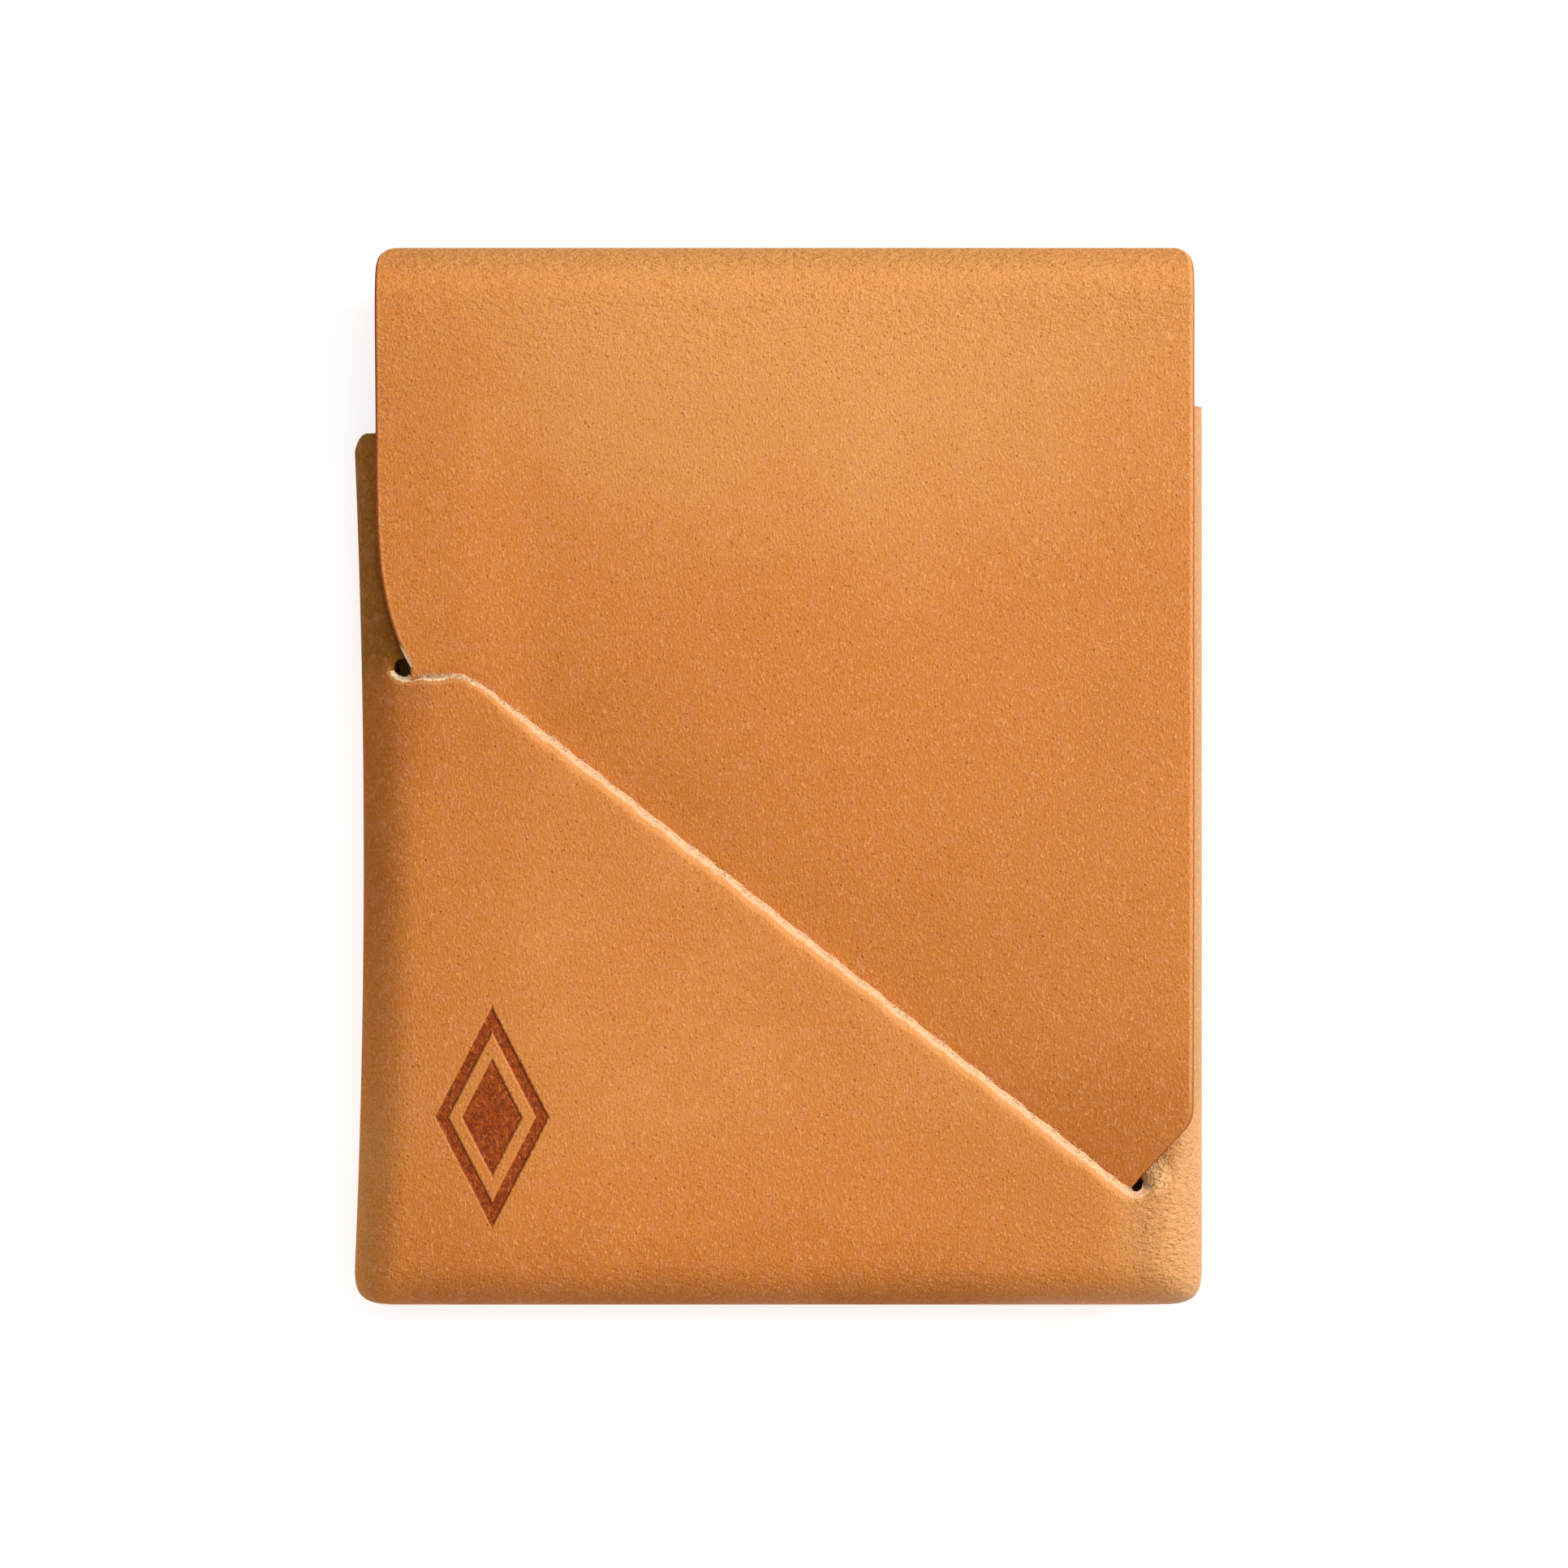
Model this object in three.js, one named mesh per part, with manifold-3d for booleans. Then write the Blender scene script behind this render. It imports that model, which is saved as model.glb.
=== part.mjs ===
// A card holder folded from one sheet of thick vegetable-tanned leather.
// It lies on its back: X is its width, +Y runs towards the top fold, +Z is the front.
// Millimetres. The origin is the centre of the underside of the closed holder.
import * as THREE from 'three';
import { mergeVertices } from 'three/addons/utils/BufferGeometryUtils.js';
import Module from 'manifold-3d';

const wasm = await Module();
wasm.setup();

// ---- Driving dimensions ----
const WIDTH = 80.4; // outside the two side folds
const HEIGHT = 100; // from the bottom fold to the crown of the top fold
const LEATHER = 1.4; // thickness of the sheet
const GAP = 0.3; // between neighbouring stretches of the sheet
const POCKET = 5.9; // clear depth inside the pocket, between the back and the front panel
const WING = 27; // how far each wing reaches behind the back panel
const MOUTH_LEFT = 32.4; // height of the pocket's mouth at its left end
const MOUTH_RIGHT = 35.2; // and at its right end
const MOUTH_CORNER = 1.6; // corner cut off the left end of the mouth
const CORNER_RADIUS = 2.4; // of the two lower corners, seen from the front

const FLAP_LEFT = -37.8; // side edges of the flap and of the top fold
const FLAP_RIGHT = 39;
const FLAP_SHOULDER = -33.4; // where the flap's right edge turns in to the slit

const SLIT_WIDTH = 2.2; // the slot that the tongue goes through
const SLIT_LEFT = new THREE.Vector2(-36.1, 10.3); // its centre line: left end hole,
const SLIT_KNEE = new THREE.Vector2(-29, 10.9); // the knee where it turns down,
const SLIT_RIGHT = new THREE.Vector2(33.6, -38.2); // and the right end hole
const KNEE_RADIUS = 5;
const TONGUE_DEPTH = 10; // how far the tongue reaches in behind the lower lip

const STAMP = { x: -26.9, y: -32, halfWidth: 5.35, halfHeight: 10.35, line: 1.1, depth: 0.3 };

const FOLD_SLATS = 3; // flat stretches that stand for the rounded top fold
const ARC_STEPS = 10; // facets of each rounded side or bottom fold

// ---- Levels of the stacked layers, from the underside up ----
const WING_Z = 0;
const BACK_Z = WING_Z + LEATHER + GAP;
const FRONT_Z = BACK_Z + LEATHER + POCKET;
const FLAP_Z = FRONT_Z + LEATHER + GAP;
const TONGUE_Z = FRONT_Z - GAP - LEATHER;
const TOP = FLAP_Z + LEATHER;

// Each rounded fold is half a ring around one centre line.
const SIDE_R = (FRONT_Z + LEATHER - WING_Z) / 2;
const BOTTOM_R = (FRONT_Z + LEATHER - BACK_Z) / 2;
const TOP_R = (TOP - BACK_Z) / 2;
const SIDE_X = WIDTH / 2 - SIDE_R;
const BOTTOM_Y = -HEIGHT / 2 + BOTTOM_R;
const TOP_Y = HEIGHT / 2 - TOP_R;
const TOP_CENTRE_Z = BACK_Z + TOP_R;
const HALF_GAP = GAP / 2;

const COLOURS = { grain: 0xd2873f, side: 0x9c6430, flesh: 0xc89a68 };

// ---- Solids ----
function solid(geometry) {
  const bare = geometry.index ? geometry.toNonIndexed() : geometry.clone();
  bare.deleteAttribute('normal');
  bare.deleteAttribute('uv');
  const merged = mergeVertices(bare, 1e-4);
  return new wasm.Manifold(new wasm.Mesh({
    numProp: 3,
    vertProperties: merged.attributes.position.array,
    triVerts: new Uint32Array(merged.index.array),
  }));
}

function geometryOf(manifold) {
  const mesh = manifold.getMesh();
  const geometry = new THREE.BufferGeometry();
  geometry.setAttribute('position', new THREE.BufferAttribute(mesh.vertProperties, 3));
  geometry.setIndex(new THREE.BufferAttribute(mesh.triVerts, 1));
  geometry.computeVertexNormals();
  return geometry;
}

// A flat outline in X and Y, made solid from z = low to z = high.
function prism(outline, low, high) {
  const shape = outline instanceof THREE.Shape ? outline : new THREE.Shape(outline);
  const geometry = new THREE.ExtrudeGeometry(shape, {
    depth: high - low, bevelEnabled: false, curveSegments: 6,
  });
  return solid(geometry.translate(0, 0, low));
}

function point(x, y) {
  return new THREE.Vector2(x, y);
}

// Half a ring in the plane (u, z), bulging towards +u, carried along `length` of the other axis.
function halfRing(radius, length) {
  const shape = new THREE.Shape();
  shape.absarc(0, 0, radius, -Math.PI / 2, Math.PI / 2, false);
  shape.lineTo(0, radius - LEATHER);
  shape.absarc(0, 0, radius - LEATHER, Math.PI / 2, -Math.PI / 2, true);
  shape.closePath();
  const geometry = new THREE.ExtrudeGeometry(shape, {
    depth: length, bevelEnabled: false, curveSegments: ARC_STEPS,
  });
  return geometry.translate(0, 0, -length / 2).rotateX(Math.PI / 2);
}

// ---- The slit ----
// Points along the slit's centre line with a rounded knee, moved sideways by `offset`
// (positive is up and to the right), between two cut-off distances from its ends.
function slitLine(offset, cutLeft = 0, cutRight = 0) {
  const intoKnee = SLIT_KNEE.clone().sub(SLIT_LEFT).normalize();
  const outOfKnee = SLIT_RIGHT.clone().sub(SLIT_KNEE).normalize();
  const turn = Math.acos(intoKnee.dot(outOfKnee));
  const tangent = KNEE_RADIUS * Math.tan(turn / 2);
  const arcStart = SLIT_KNEE.clone().addScaledVector(intoKnee, -tangent);
  const centre = arcStart.clone().add(point(intoKnee.y, -intoKnee.x).multiplyScalar(KNEE_RADIUS));
  const radius = KNEE_RADIUS + offset;
  const first = Math.atan2(arcStart.y - centre.y, arcStart.x - centre.x);
  const steps = 5;
  const arc = Array.from({ length: steps + 1 }, (_, i) => {
    const angle = first - turn * i / steps;
    return point(centre.x + radius * Math.cos(angle), centre.y + radius * Math.sin(angle));
  });
  const start = SLIT_LEFT.clone().addScaledVector(intoKnee, cutLeft)
    .add(point(-intoKnee.y, intoKnee.x).multiplyScalar(offset));
  const end = SLIT_RIGHT.clone().addScaledVector(outOfKnee, -cutRight)
    .add(point(-outOfKnee.y, outOfKnee.x).multiplyScalar(offset));
  return [start, ...arc, end];
}

// The slot and its two round end holes, which stop the leather from tearing.
function slitCutter() {
  const half = SLIT_WIDTH / 2;
  const low = TOP_CENTRE_Z;
  const high = TOP;
  let cutter = prism([...slitLine(half), ...slitLine(-half).reverse()], low, high);
  for (const hole of [SLIT_LEFT, SLIT_RIGHT]) {
    const round = new THREE.CylinderGeometry(half, half, high - low, 16);
    round.rotateX(Math.PI / 2).translate(hole.x, hole.y, (low + high) / 2);
    cutter = cutter.add(solid(round));
  }
  return cutter;
}

// ---- The pouch ----
function mouthAt(x) {
  return MOUTH_LEFT + (MOUTH_RIGHT - MOUTH_LEFT) * (x + WIDTH / 2) / WIDTH;
}

// Everything inside the pouch's outline, whose two lower corners are rounded.
function footprint() {
  const half = WIDTH / 2;
  const low = -HEIGHT / 2;
  const r = CORNER_RADIUS;
  const shape = new THREE.Shape();
  shape.moveTo(half, HEIGHT / 2);
  shape.lineTo(-half, HEIGHT / 2);
  shape.lineTo(-half, low + r);
  shape.absarc(-half + r, low + r, r, Math.PI, 1.5 * Math.PI, false);
  shape.lineTo(half - r, low);
  shape.absarc(half - r, low + r, r, 1.5 * Math.PI, 2 * Math.PI, false);
  shape.closePath();
  return prism(shape, -1, TOP);
}

function lozenge(halfWidth, halfHeight) {
  return [
    point(STAMP.x + halfWidth, STAMP.y), point(STAMP.x, STAMP.y + halfHeight),
    point(STAMP.x - halfWidth, STAMP.y), point(STAMP.x, STAMP.y - halfHeight),
  ];
}

// A pressed mark: a lozenge outline around a smaller solid lozenge.
function stampCutter() {
  const floor = FRONT_Z + LEATHER - STAMP.depth;
  const { halfWidth, halfHeight, line } = STAMP;
  const slope = Math.hypot(halfWidth, halfHeight) / halfHeight;
  const shrunk = inset => {
    const w = halfWidth - inset * slope;
    return lozenge(w, w * halfHeight / halfWidth);
  };
  const outline = prism(shrunk(0), floor, TOP).subtract(prism(shrunk(line), floor - 1, TOP + 1));
  return outline.add(prism(shrunk(2.2 * line), floor, TOP));
}

function frontPanel() {
  const side = SIDE_X - HALF_GAP;
  const outline = [
    point(-side, BOTTOM_Y + HALF_GAP), point(side, BOTTOM_Y + HALF_GAP),
    point(side, mouthAt(side)), point(-side, mouthAt(-side)),
  ];
  return prism(outline, FRONT_Z, FRONT_Z + LEATHER)
    .subtract(slitCutter())
    .subtract(stampCutter());
}

// The leather that turns round the pocket's left (side = -1) or right (side = +1) edge.
// Its lower end is cut on the diagonal, where it meets the bottom fold.
function sideFold(side) {
  const ring = solid(halfRing(SIDE_R, HEIGHT).translate(SIDE_X, 0, WING_Z + SIDE_R));
  const inner = SIDE_X + HALF_GAP;
  const outer = WIDTH / 2 + 1;
  const mitre = x => BOTTOM_Y + GAP - (x - SIDE_X);
  const mouth = mouthAt(side * SIDE_X);
  const corner = side < 0 ? MOUTH_CORNER : 0.2;
  const plan = [
    point(inner, mitre(inner)), point(outer, mitre(outer)),
    point(outer, mouth - 2 * corner), point(WIDTH / 2 - corner, mouth), point(inner, mouth),
  ];
  const right = ring.intersect(prism(plan, -1, TOP)).intersect(footprint());
  return side > 0 ? right : right.mirror([1, 0, 0]).subtract(slitCutter());
}

// The end of the side fold, lying flat behind the back panel.
function backWing(side) {
  const outer = SIDE_X - HALF_GAP;
  const inner = SIDE_X - WING;
  const low = BOTTOM_Y + 1;
  const mouth = mouthAt(side * outer);
  const round = 3;
  const shape = new THREE.Shape();
  shape.moveTo(outer, low);
  shape.lineTo(outer, mouth);
  shape.lineTo(inner + round, mouth);
  shape.quadraticCurveTo(inner, mouth, inner, mouth - round);
  shape.lineTo(inner, low + round);
  shape.quadraticCurveTo(inner, low, inner + round, low);
  shape.closePath();
  const right = prism(shape, WING_Z, WING_Z + LEATHER);
  return side > 0 ? right : right.mirror([1, 0, 0]);
}

function bottomFold() {
  const ring = halfRing(BOTTOM_R, WIDTH).rotateZ(-Math.PI / 2);
  ring.translate(0, BOTTOM_Y, BACK_Z + BOTTOM_R);
  const high = BOTTOM_Y - HALF_GAP;
  const low = -HEIGHT / 2 - 1;
  const mitre = y => SIDE_X - GAP + (BOTTOM_Y - y);
  const plan = [
    point(-mitre(low), low), point(mitre(low), low), point(mitre(high), high), point(-mitre(high), high),
  ];
  return solid(ring).intersect(prism(plan, -1, TOP)).intersect(footprint());
}

// The panel behind the cards. It widens to the flap's width above the pocket's mouth.
function backPanel() {
  const slim = SIDE_X + 1.1;
  const shoulder = MOUTH_RIGHT + 1;
  const top = TOP_Y + TOP_R * Math.tan(FOLD_TURN / 2) - HALF_GAP;
  const outline = [
    point(-slim, BOTTOM_Y + HALF_GAP), point(slim, BOTTOM_Y + HALF_GAP), point(slim, shoulder),
    point(FLAP_RIGHT, shoulder + 2), point(FLAP_RIGHT, top),
    point(FLAP_LEFT, top), point(FLAP_LEFT, shoulder + 2), point(-slim, shoulder),
  ];
  return prism(outline, BACK_Z, BACK_Z + LEATHER).intersect(foldWedge(0));
}

// ---- The top fold ----
// The half turn over the top is shared between the slats' hinges. Hinge lines lie on the
// outer corners, and each stretch is cut back to the bisecting planes through the fold's
// centre line, so it opens without its neighbours meeting.
const FOLD_TURN = Math.PI / (FOLD_SLATS + 1);

function foldPoint(radius, angle) {
  return [TOP_Y + radius * Math.sin(angle), TOP_CENTRE_Z - radius * Math.cos(angle)];
}

// The wedge of space that belongs to stretch `index` of the fold (0 is the back panel).
function foldWedge(index) {
  const reach = 200;
  const middle = index * FOLD_TURN;
  const first = index === 0 ? -Math.PI / 2 : middle - FOLD_TURN / 2;
  const last = index > FOLD_SLATS ? middle + Math.PI / 2 : middle + FOLD_TURN / 2;
  const shift = HALF_GAP / Math.sin(FOLD_TURN / 2);
  const [apexY, apexZ] = foldPoint(shift, middle);
  const corner = angle => point(
    apexY + reach * Math.sin(angle), apexZ - reach * Math.cos(angle),
  );
  const shape = new THREE.Shape([point(apexY, apexZ), corner(first), corner(middle), corner(last)]);
  const geometry = new THREE.ExtrudeGeometry(shape, { depth: 4 * WIDTH, bevelEnabled: false });
  geometry.translate(0, 0, -2 * WIDTH);
  geometry.applyMatrix4(new THREE.Matrix4().makeBasis(
    new THREE.Vector3(0, 1, 0), new THREE.Vector3(0, 0, 1), new THREE.Vector3(1, 0, 0),
  ));
  return solid(geometry);
}

function foldSlat(index) {
  const half = TOP_R * Math.tan(FOLD_TURN / 2);
  const slat = new THREE.BoxGeometry(FLAP_RIGHT - FLAP_LEFT, 2 * half, LEATHER);
  const [y, z] = foldPoint(TOP_R - LEATHER / 2, index * FOLD_TURN);
  slat.rotateX(index * FOLD_TURN).translate((FLAP_LEFT + FLAP_RIGHT) / 2, y, z);
  return solid(slat).intersect(foldWedge(index));
}

// ---- The flap ----
function flapPanel() {
  const clear = LEATHER / 2 + GAP;
  const lower = slitLine(clear, 1.9, 0.6);
  const start = lower[0];
  const end = lower[lower.length - 1];
  const top = TOP_Y + TOP_R;
  const shape = new THREE.Shape();
  shape.moveTo(FLAP_RIGHT, top);
  shape.lineTo(FLAP_LEFT, top);
  shape.lineTo(FLAP_LEFT, 30);
  shape.bezierCurveTo(FLAP_LEFT + 0.1, 20, FLAP_LEFT + 0.6, 14.5, start.x - 0.6, start.y + 1.4);
  lower.forEach(p => shape.lineTo(p.x, p.y));
  shape.lineTo(end.x + 0.5, end.y);
  shape.lineTo(FLAP_RIGHT - 0.8, FLAP_SHOULDER);
  shape.quadraticCurveTo(FLAP_RIGHT, FLAP_SHOULDER + 0.8, FLAP_RIGHT, FLAP_SHOULDER + 2);
  shape.closePath();
  return prism(shape, FLAP_Z, TOP).intersect(foldWedge(FOLD_SLATS + 1));
}

// The flap's lower edge: it steps down through the slit and lies behind the lower lip.
function flapTongue() {
  const half = LEATHER / 2;
  const upper = slitLine(half, 1.9, 0.9);
  const riser = prism([...upper, ...slitLine(-half, 1.9, 0.9).reverse()], TONGUE_Z, TOP);
  const deep = slitLine(-TONGUE_DEPTH, 7, 7);
  const plate = prism([...upper, ...deep.reverse()], TONGUE_Z, TONGUE_Z + LEATHER);
  return riser.add(plate);
}

// ---- The assembly ----
function leather(colour) {
  return new THREE.MeshStandardMaterial({ color: colour, roughness: 0.6, metalness: 0 });
}

const materials = {
  grain: leather(COLOURS.grain),
  side: leather(COLOURS.side),
  flesh: leather(COLOURS.flesh),
};

const group = new THREE.Group();
function add(name, shape, material) {
  const mesh = new THREE.Mesh(geometryOf(shape), material);
  mesh.name = name;
  group.add(mesh);
}

add('front_panel', frontPanel(), materials.grain);
add('left_side_fold', sideFold(-1), materials.side);
add('right_side_fold', sideFold(1), materials.side);
add('left_back_wing', backWing(-1), materials.side);
add('right_back_wing', backWing(1), materials.side);
add('bottom_fold', bottomFold(), materials.grain);
add('back_panel', backPanel(), materials.flesh);
['top_fold_back', 'top_fold_crown', 'top_fold_front'].forEach((name, i) => {
  add(name, foldSlat(i + 1), materials.grain);
});
add('flap_panel', flapPanel(), materials.grain);
add('flap_tongue', flapTongue(), materials.flesh);

export default group;
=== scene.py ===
# %% [markdown]
# # A card holder folded from one sheet of leather
# The holder is a single cut sheet of thick vegetable-tanned leather. It wraps round the cards as a
# pouch, comes back over the top as a flap, and the flap's lower edge tucks through a slit.
# The frame gives the sizes and the joints. Here the stretches of the sheet are made again as
# smooth leather, each one a surface worked out from two parameters.

# %% Load the frame
import math

import bpy
import numpy as np
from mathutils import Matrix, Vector


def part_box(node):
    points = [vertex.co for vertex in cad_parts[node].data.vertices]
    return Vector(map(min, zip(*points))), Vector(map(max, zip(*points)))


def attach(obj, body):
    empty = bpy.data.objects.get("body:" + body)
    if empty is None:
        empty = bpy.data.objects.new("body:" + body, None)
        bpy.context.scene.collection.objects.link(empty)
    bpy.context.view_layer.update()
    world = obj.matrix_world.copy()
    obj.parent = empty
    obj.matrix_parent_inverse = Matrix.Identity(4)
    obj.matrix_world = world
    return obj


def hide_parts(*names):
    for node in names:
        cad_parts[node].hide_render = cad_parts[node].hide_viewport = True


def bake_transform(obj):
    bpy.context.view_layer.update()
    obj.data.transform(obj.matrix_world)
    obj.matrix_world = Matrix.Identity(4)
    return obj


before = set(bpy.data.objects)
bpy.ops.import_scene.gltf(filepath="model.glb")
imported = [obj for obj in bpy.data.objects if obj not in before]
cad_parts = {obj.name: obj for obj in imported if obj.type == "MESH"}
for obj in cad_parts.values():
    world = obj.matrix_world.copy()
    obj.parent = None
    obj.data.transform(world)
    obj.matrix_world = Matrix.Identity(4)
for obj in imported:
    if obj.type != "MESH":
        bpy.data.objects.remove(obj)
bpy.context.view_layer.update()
MM = 0.001  # the frame is in metres, and this script works in millimetres

# %% [markdown]
# ## Sizes
# Every size is read off the frame's boxes: the leather's thickness is the front panel's, and the
# rounded folds have the radius that joins one level of the stack to the next.


# %% Sizes
def box_mm(node):
    """The lowest and highest corners of a node, in millimetres."""
    return np.array([list(corner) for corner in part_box(node)]) / MM


front, wing, back = box_mm("front_panel"), box_mm("left_back_wing"), box_mm("back_panel")
flap, side_fold, tongue = box_mm("flap_panel"), box_mm("right_side_fold"), box_mm("flap_tongue")
low_fold, crown = box_mm("bottom_fold"), box_mm("top_fold_crown")

SKIN = front[1, 2] - front[0, 2]
FRONT_TOP, FLAP_TOP, BACK_LOW, WING_LOW = front[1, 2], flap[1, 2], back[0, 2], wing[0, 2]
SIDE_R = (FRONT_TOP - WING_LOW) / 2
BOTTOM_R = (FRONT_TOP - BACK_LOW) / 2
TOP_R = (FLAP_TOP - BACK_LOW) / 2
FLAT_X = side_fold[1, 0] - SIDE_R  # the front is flat between these two lines,
FLAT_Y = low_fold[0, 1] + BOTTOM_R  # above this one
FOLD_Y = crown[1, 1] - TOP_R  # and the flap is flat below this one
FOLD_Z = BACK_LOW + TOP_R
FLAP_LEFT, FLAP_RIGHT = flap[0, 0], flap[1, 0]
WING_INNER = -wing[1, 0]
MOUTH = front[1, 1]
print("leather", round(SKIN, 2), "mm; radii", round(SIDE_R, 2), round(BOTTOM_R, 2), round(TOP_R, 2))

# %% [markdown]
# ## Small helpers
# A surface is a grid of points. These helpers turn index grids into faces, give a sheet its
# thickness, and keep the result as a plain mesh.


# %% Helpers
FAR = 20.0  # kept as the distance from a cut wherever no cut is near
THINNEST = 0.12  # share of the thickness that is left where the sheet is thinned most


def smooth(x, start, end):
    """Rises from 0 at start to 1 at end with flat ends: 3t^2 - 2t^3."""
    t = np.clip((x - start) / (end - start), 0, 1)
    return t * t * (3 - 2 * t)


def bell(x, width):
    """A bell curve, exp(-(x / width)^2)."""
    return np.exp(-((x / width) ** 2))


def quads_of(ids):
    """Four corners for each cell of an index grid. Cells with a missing corner (-1) are left out."""
    cells = np.stack([ids[:-1, :-1], ids[1:, :-1], ids[1:, 1:], ids[:-1, 1:]], axis=-1).reshape(-1, 4)
    cells = cells[(cells >= 0).all(axis=1)]
    return cells[(cells[:, 0] != cells[:, 1]) | (cells[:, 2] != cells[:, 3])]


def sheet_object(name, points, faces, attributes=None):
    """A mesh object from points in millimetres and quads, which may have two corners the same."""
    corners = [list(dict.fromkeys(face)) for face in faces.tolist()]
    mesh = bpy.data.meshes.new(name)
    mesh.from_pydata((points * MM).tolist(), [], [face for face in corners if len(face) > 2])
    for key, values in (attributes or {}).items():
        mesh.attributes.new(key, "FLOAT", "POINT").data.foreach_set("value", values.astype(np.float32))
    obj = bpy.data.objects.new(name, mesh)
    bpy.context.scene.collection.objects.link(obj)
    return obj


def thicken(obj, thinness):
    """Gives the sheet its thickness on the inner side, thinner where thinness (0 to 1) is high."""
    group = obj.vertex_groups.new(name="full")
    weights = np.round(1 - np.clip(thinness, 0, 1), 2)
    for level in np.unique(weights):
        group.add(np.flatnonzero(weights == level).tolist(), float(level), "REPLACE")
    solid = obj.modifiers.new("leather", "SOLIDIFY")
    solid.thickness = SKIN * MM
    solid.offset = -1
    solid.use_quality_normals = True
    solid.vertex_group = "full"
    solid.thickness_vertex_group = THINNEST
    solid.material_offset = 1
    solid.material_offset_rim = 2


def keep_result(obj, sharp_degrees=40):
    """Replaces the mesh with what its modifiers make, and marks its sharp edges."""
    graph = bpy.context.evaluated_depsgraph_get()
    made = bpy.data.meshes.new_from_object(obj.evaluated_get(graph), depsgraph=graph)
    obj.modifiers.clear()
    obj.data = made
    made.polygons.foreach_set("use_smooth", np.ones(len(made.polygons), bool))
    made.set_sharp_from_angle(angle=math.radians(sharp_degrees))
    made.calc_loop_triangles()
    print(obj.name, len(made.loop_triangles), "triangles")


# %% [markdown]
# ## Camera, light and table
# The holder lies on its back and is seen from straight above, through a long lens.
# One big soft lamp stands low at the right, as a window would, and the pale room fills in the rest.

# %% Camera
CAMERA_X, CAMERA_Y = 0.54, -0.69
VIEW_WIDTH = 148.8  # what the frame takes in at the height of the side folds
LENS, SENSOR = 120.0, 36.0
scene = bpy.context.scene
camera = bpy.data.objects.new("camera", bpy.data.cameras.new("camera"))
camera.data.lens = LENS
camera.data.sensor_width = SENSOR
camera.data.clip_start = 0.01
camera.location = np.array([CAMERA_X, CAMERA_Y, VIEW_WIDTH * LENS / SENSOR + SIDE_R]) * MM
scene.collection.objects.link(camera)
scene.camera = camera
scene.view_settings.view_transform = "Standard"
print("camera height", round(camera.location.z / MM), "mm")


# %% Lamps
def soft_lamp(name, towards, distance, size, power, colour):
    """A square lamp that stands in the given direction and looks back at the holder."""
    data = bpy.data.lights.new(name, "AREA")
    data.size = size
    data.energy = power
    data.color = colour
    lamp = bpy.data.objects.new(name, data)
    direction = np.array(towards, float) / np.linalg.norm(towards)
    lamp.location = direction * distance
    lamp.rotation_euler = Vector(-direction).to_track_quat("-Z", "Y").to_euler()
    scene.collection.objects.link(lamp)


soft_lamp("window", (0.80, 0.34, 0.55), 0.75, 0.32, 7.6, (1.0, 0.985, 0.96))
soft_lamp("ceiling", (0.05, 0.1, 1.0), 1.2, 1.0, 5.0, (1.0, 0.99, 0.98))
world = bpy.data.worlds.new("room")
scene.world = world
world.use_nodes = True
world.node_tree.nodes["Background"].inputs["Color"].default_value = (1.0, 0.99, 0.98, 1)
world.node_tree.nodes["Background"].inputs["Strength"].default_value = 0.30

# %% Table
TABLE_HALF = 2.0
table = bpy.data.objects.new("table", bpy.data.meshes.new("table"))
table.data.from_pydata(
    [(x * TABLE_HALF, y * TABLE_HALF, 0.0) for x, y in ((-1, -1), (1, -1), (1, 1), (-1, 1))],
    [], [(0, 1, 2, 3)],
)
scene.collection.objects.link(table)
paper = bpy.data.materials.new("paper")
paper.use_nodes = True
paper_look = {"Base Color": (0.66, 0.66, 0.655, 1), "Roughness": 0.9, "Specular IOR Level": 0.1,
              "Emission Color": (1, 1, 1, 1), "Emission Strength": 0.66}
for field, value in paper_look.items():
    paper.node_tree.nodes["Principled BSDF"].inputs[field].default_value = value
table.data.materials.append(paper)

# %% [markdown]
# ## The slit
# A straight slit with a knee near its left end runs down across the front panel. The flap's edge
# goes through it, so both the pouch and the flap are built on this one line.

# %% The slit's line
SLIT_START = np.array([-36.1, 10.3])  # the punched hole at its left end,
SLIT_KNEE = np.array([-29.0, 10.9])  # where it turns down,
SLIT_END = np.array([33.6, -38.2])  # and the hole at its right end
HOLE_R = 0.8
LIP, UPPER_LIP = 0.8, 0.9  # how far the lower and the upper lip stand back from the slit's line
SLOPE_IN = (SLIT_KNEE[1] - SLIT_START[1]) / (SLIT_KNEE[0] - SLIT_START[0])
SLOPE_OUT = (SLIT_END[1] - SLIT_KNEE[1]) / (SLIT_END[0] - SLIT_KNEE[0])


def slit_y(x):
    """Height of the slit's line at x: the lower of two straight lines, rounded where they cross
    by (a + b)/2 - sqrt(((a - b)/2)^2 + k^2), and level beyond the right hole."""
    first = SLIT_KNEE[1] + SLOPE_IN * (x - SLIT_KNEE[0])
    second = SLIT_KNEE[1] + SLOPE_OUT * (x - SLIT_KNEE[0])
    lower = (first + second) / 2 - np.sqrt(((first - second) / 2) ** 2 + 0.75**2)
    level = SLIT_END[1]
    return (lower + level) / 2 + np.sqrt(((lower - level) / 2) ** 2 + 0.2**2)


def slit_lean(x):
    """Length of the slit's line per millimetre of x, sqrt(1 + slope^2)."""
    slope = (slit_y(x + 0.05) - slit_y(x - 0.05)) / 0.1
    return np.sqrt(1 + slope**2)


def slit_side(x, y):
    """Distance from the slit's line, positive above it and to its right."""
    return (y - slit_y(x)) / slit_lean(x)


def along_slit(x, run=3.2):
    """1 along the slit, falling to 0 at its two end holes."""
    rise = smooth(x, SLIT_START[0], SLIT_START[0] + run)
    return rise * (1 - smooth(x, SLIT_END[0] - run, SLIT_END[0]))


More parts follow.
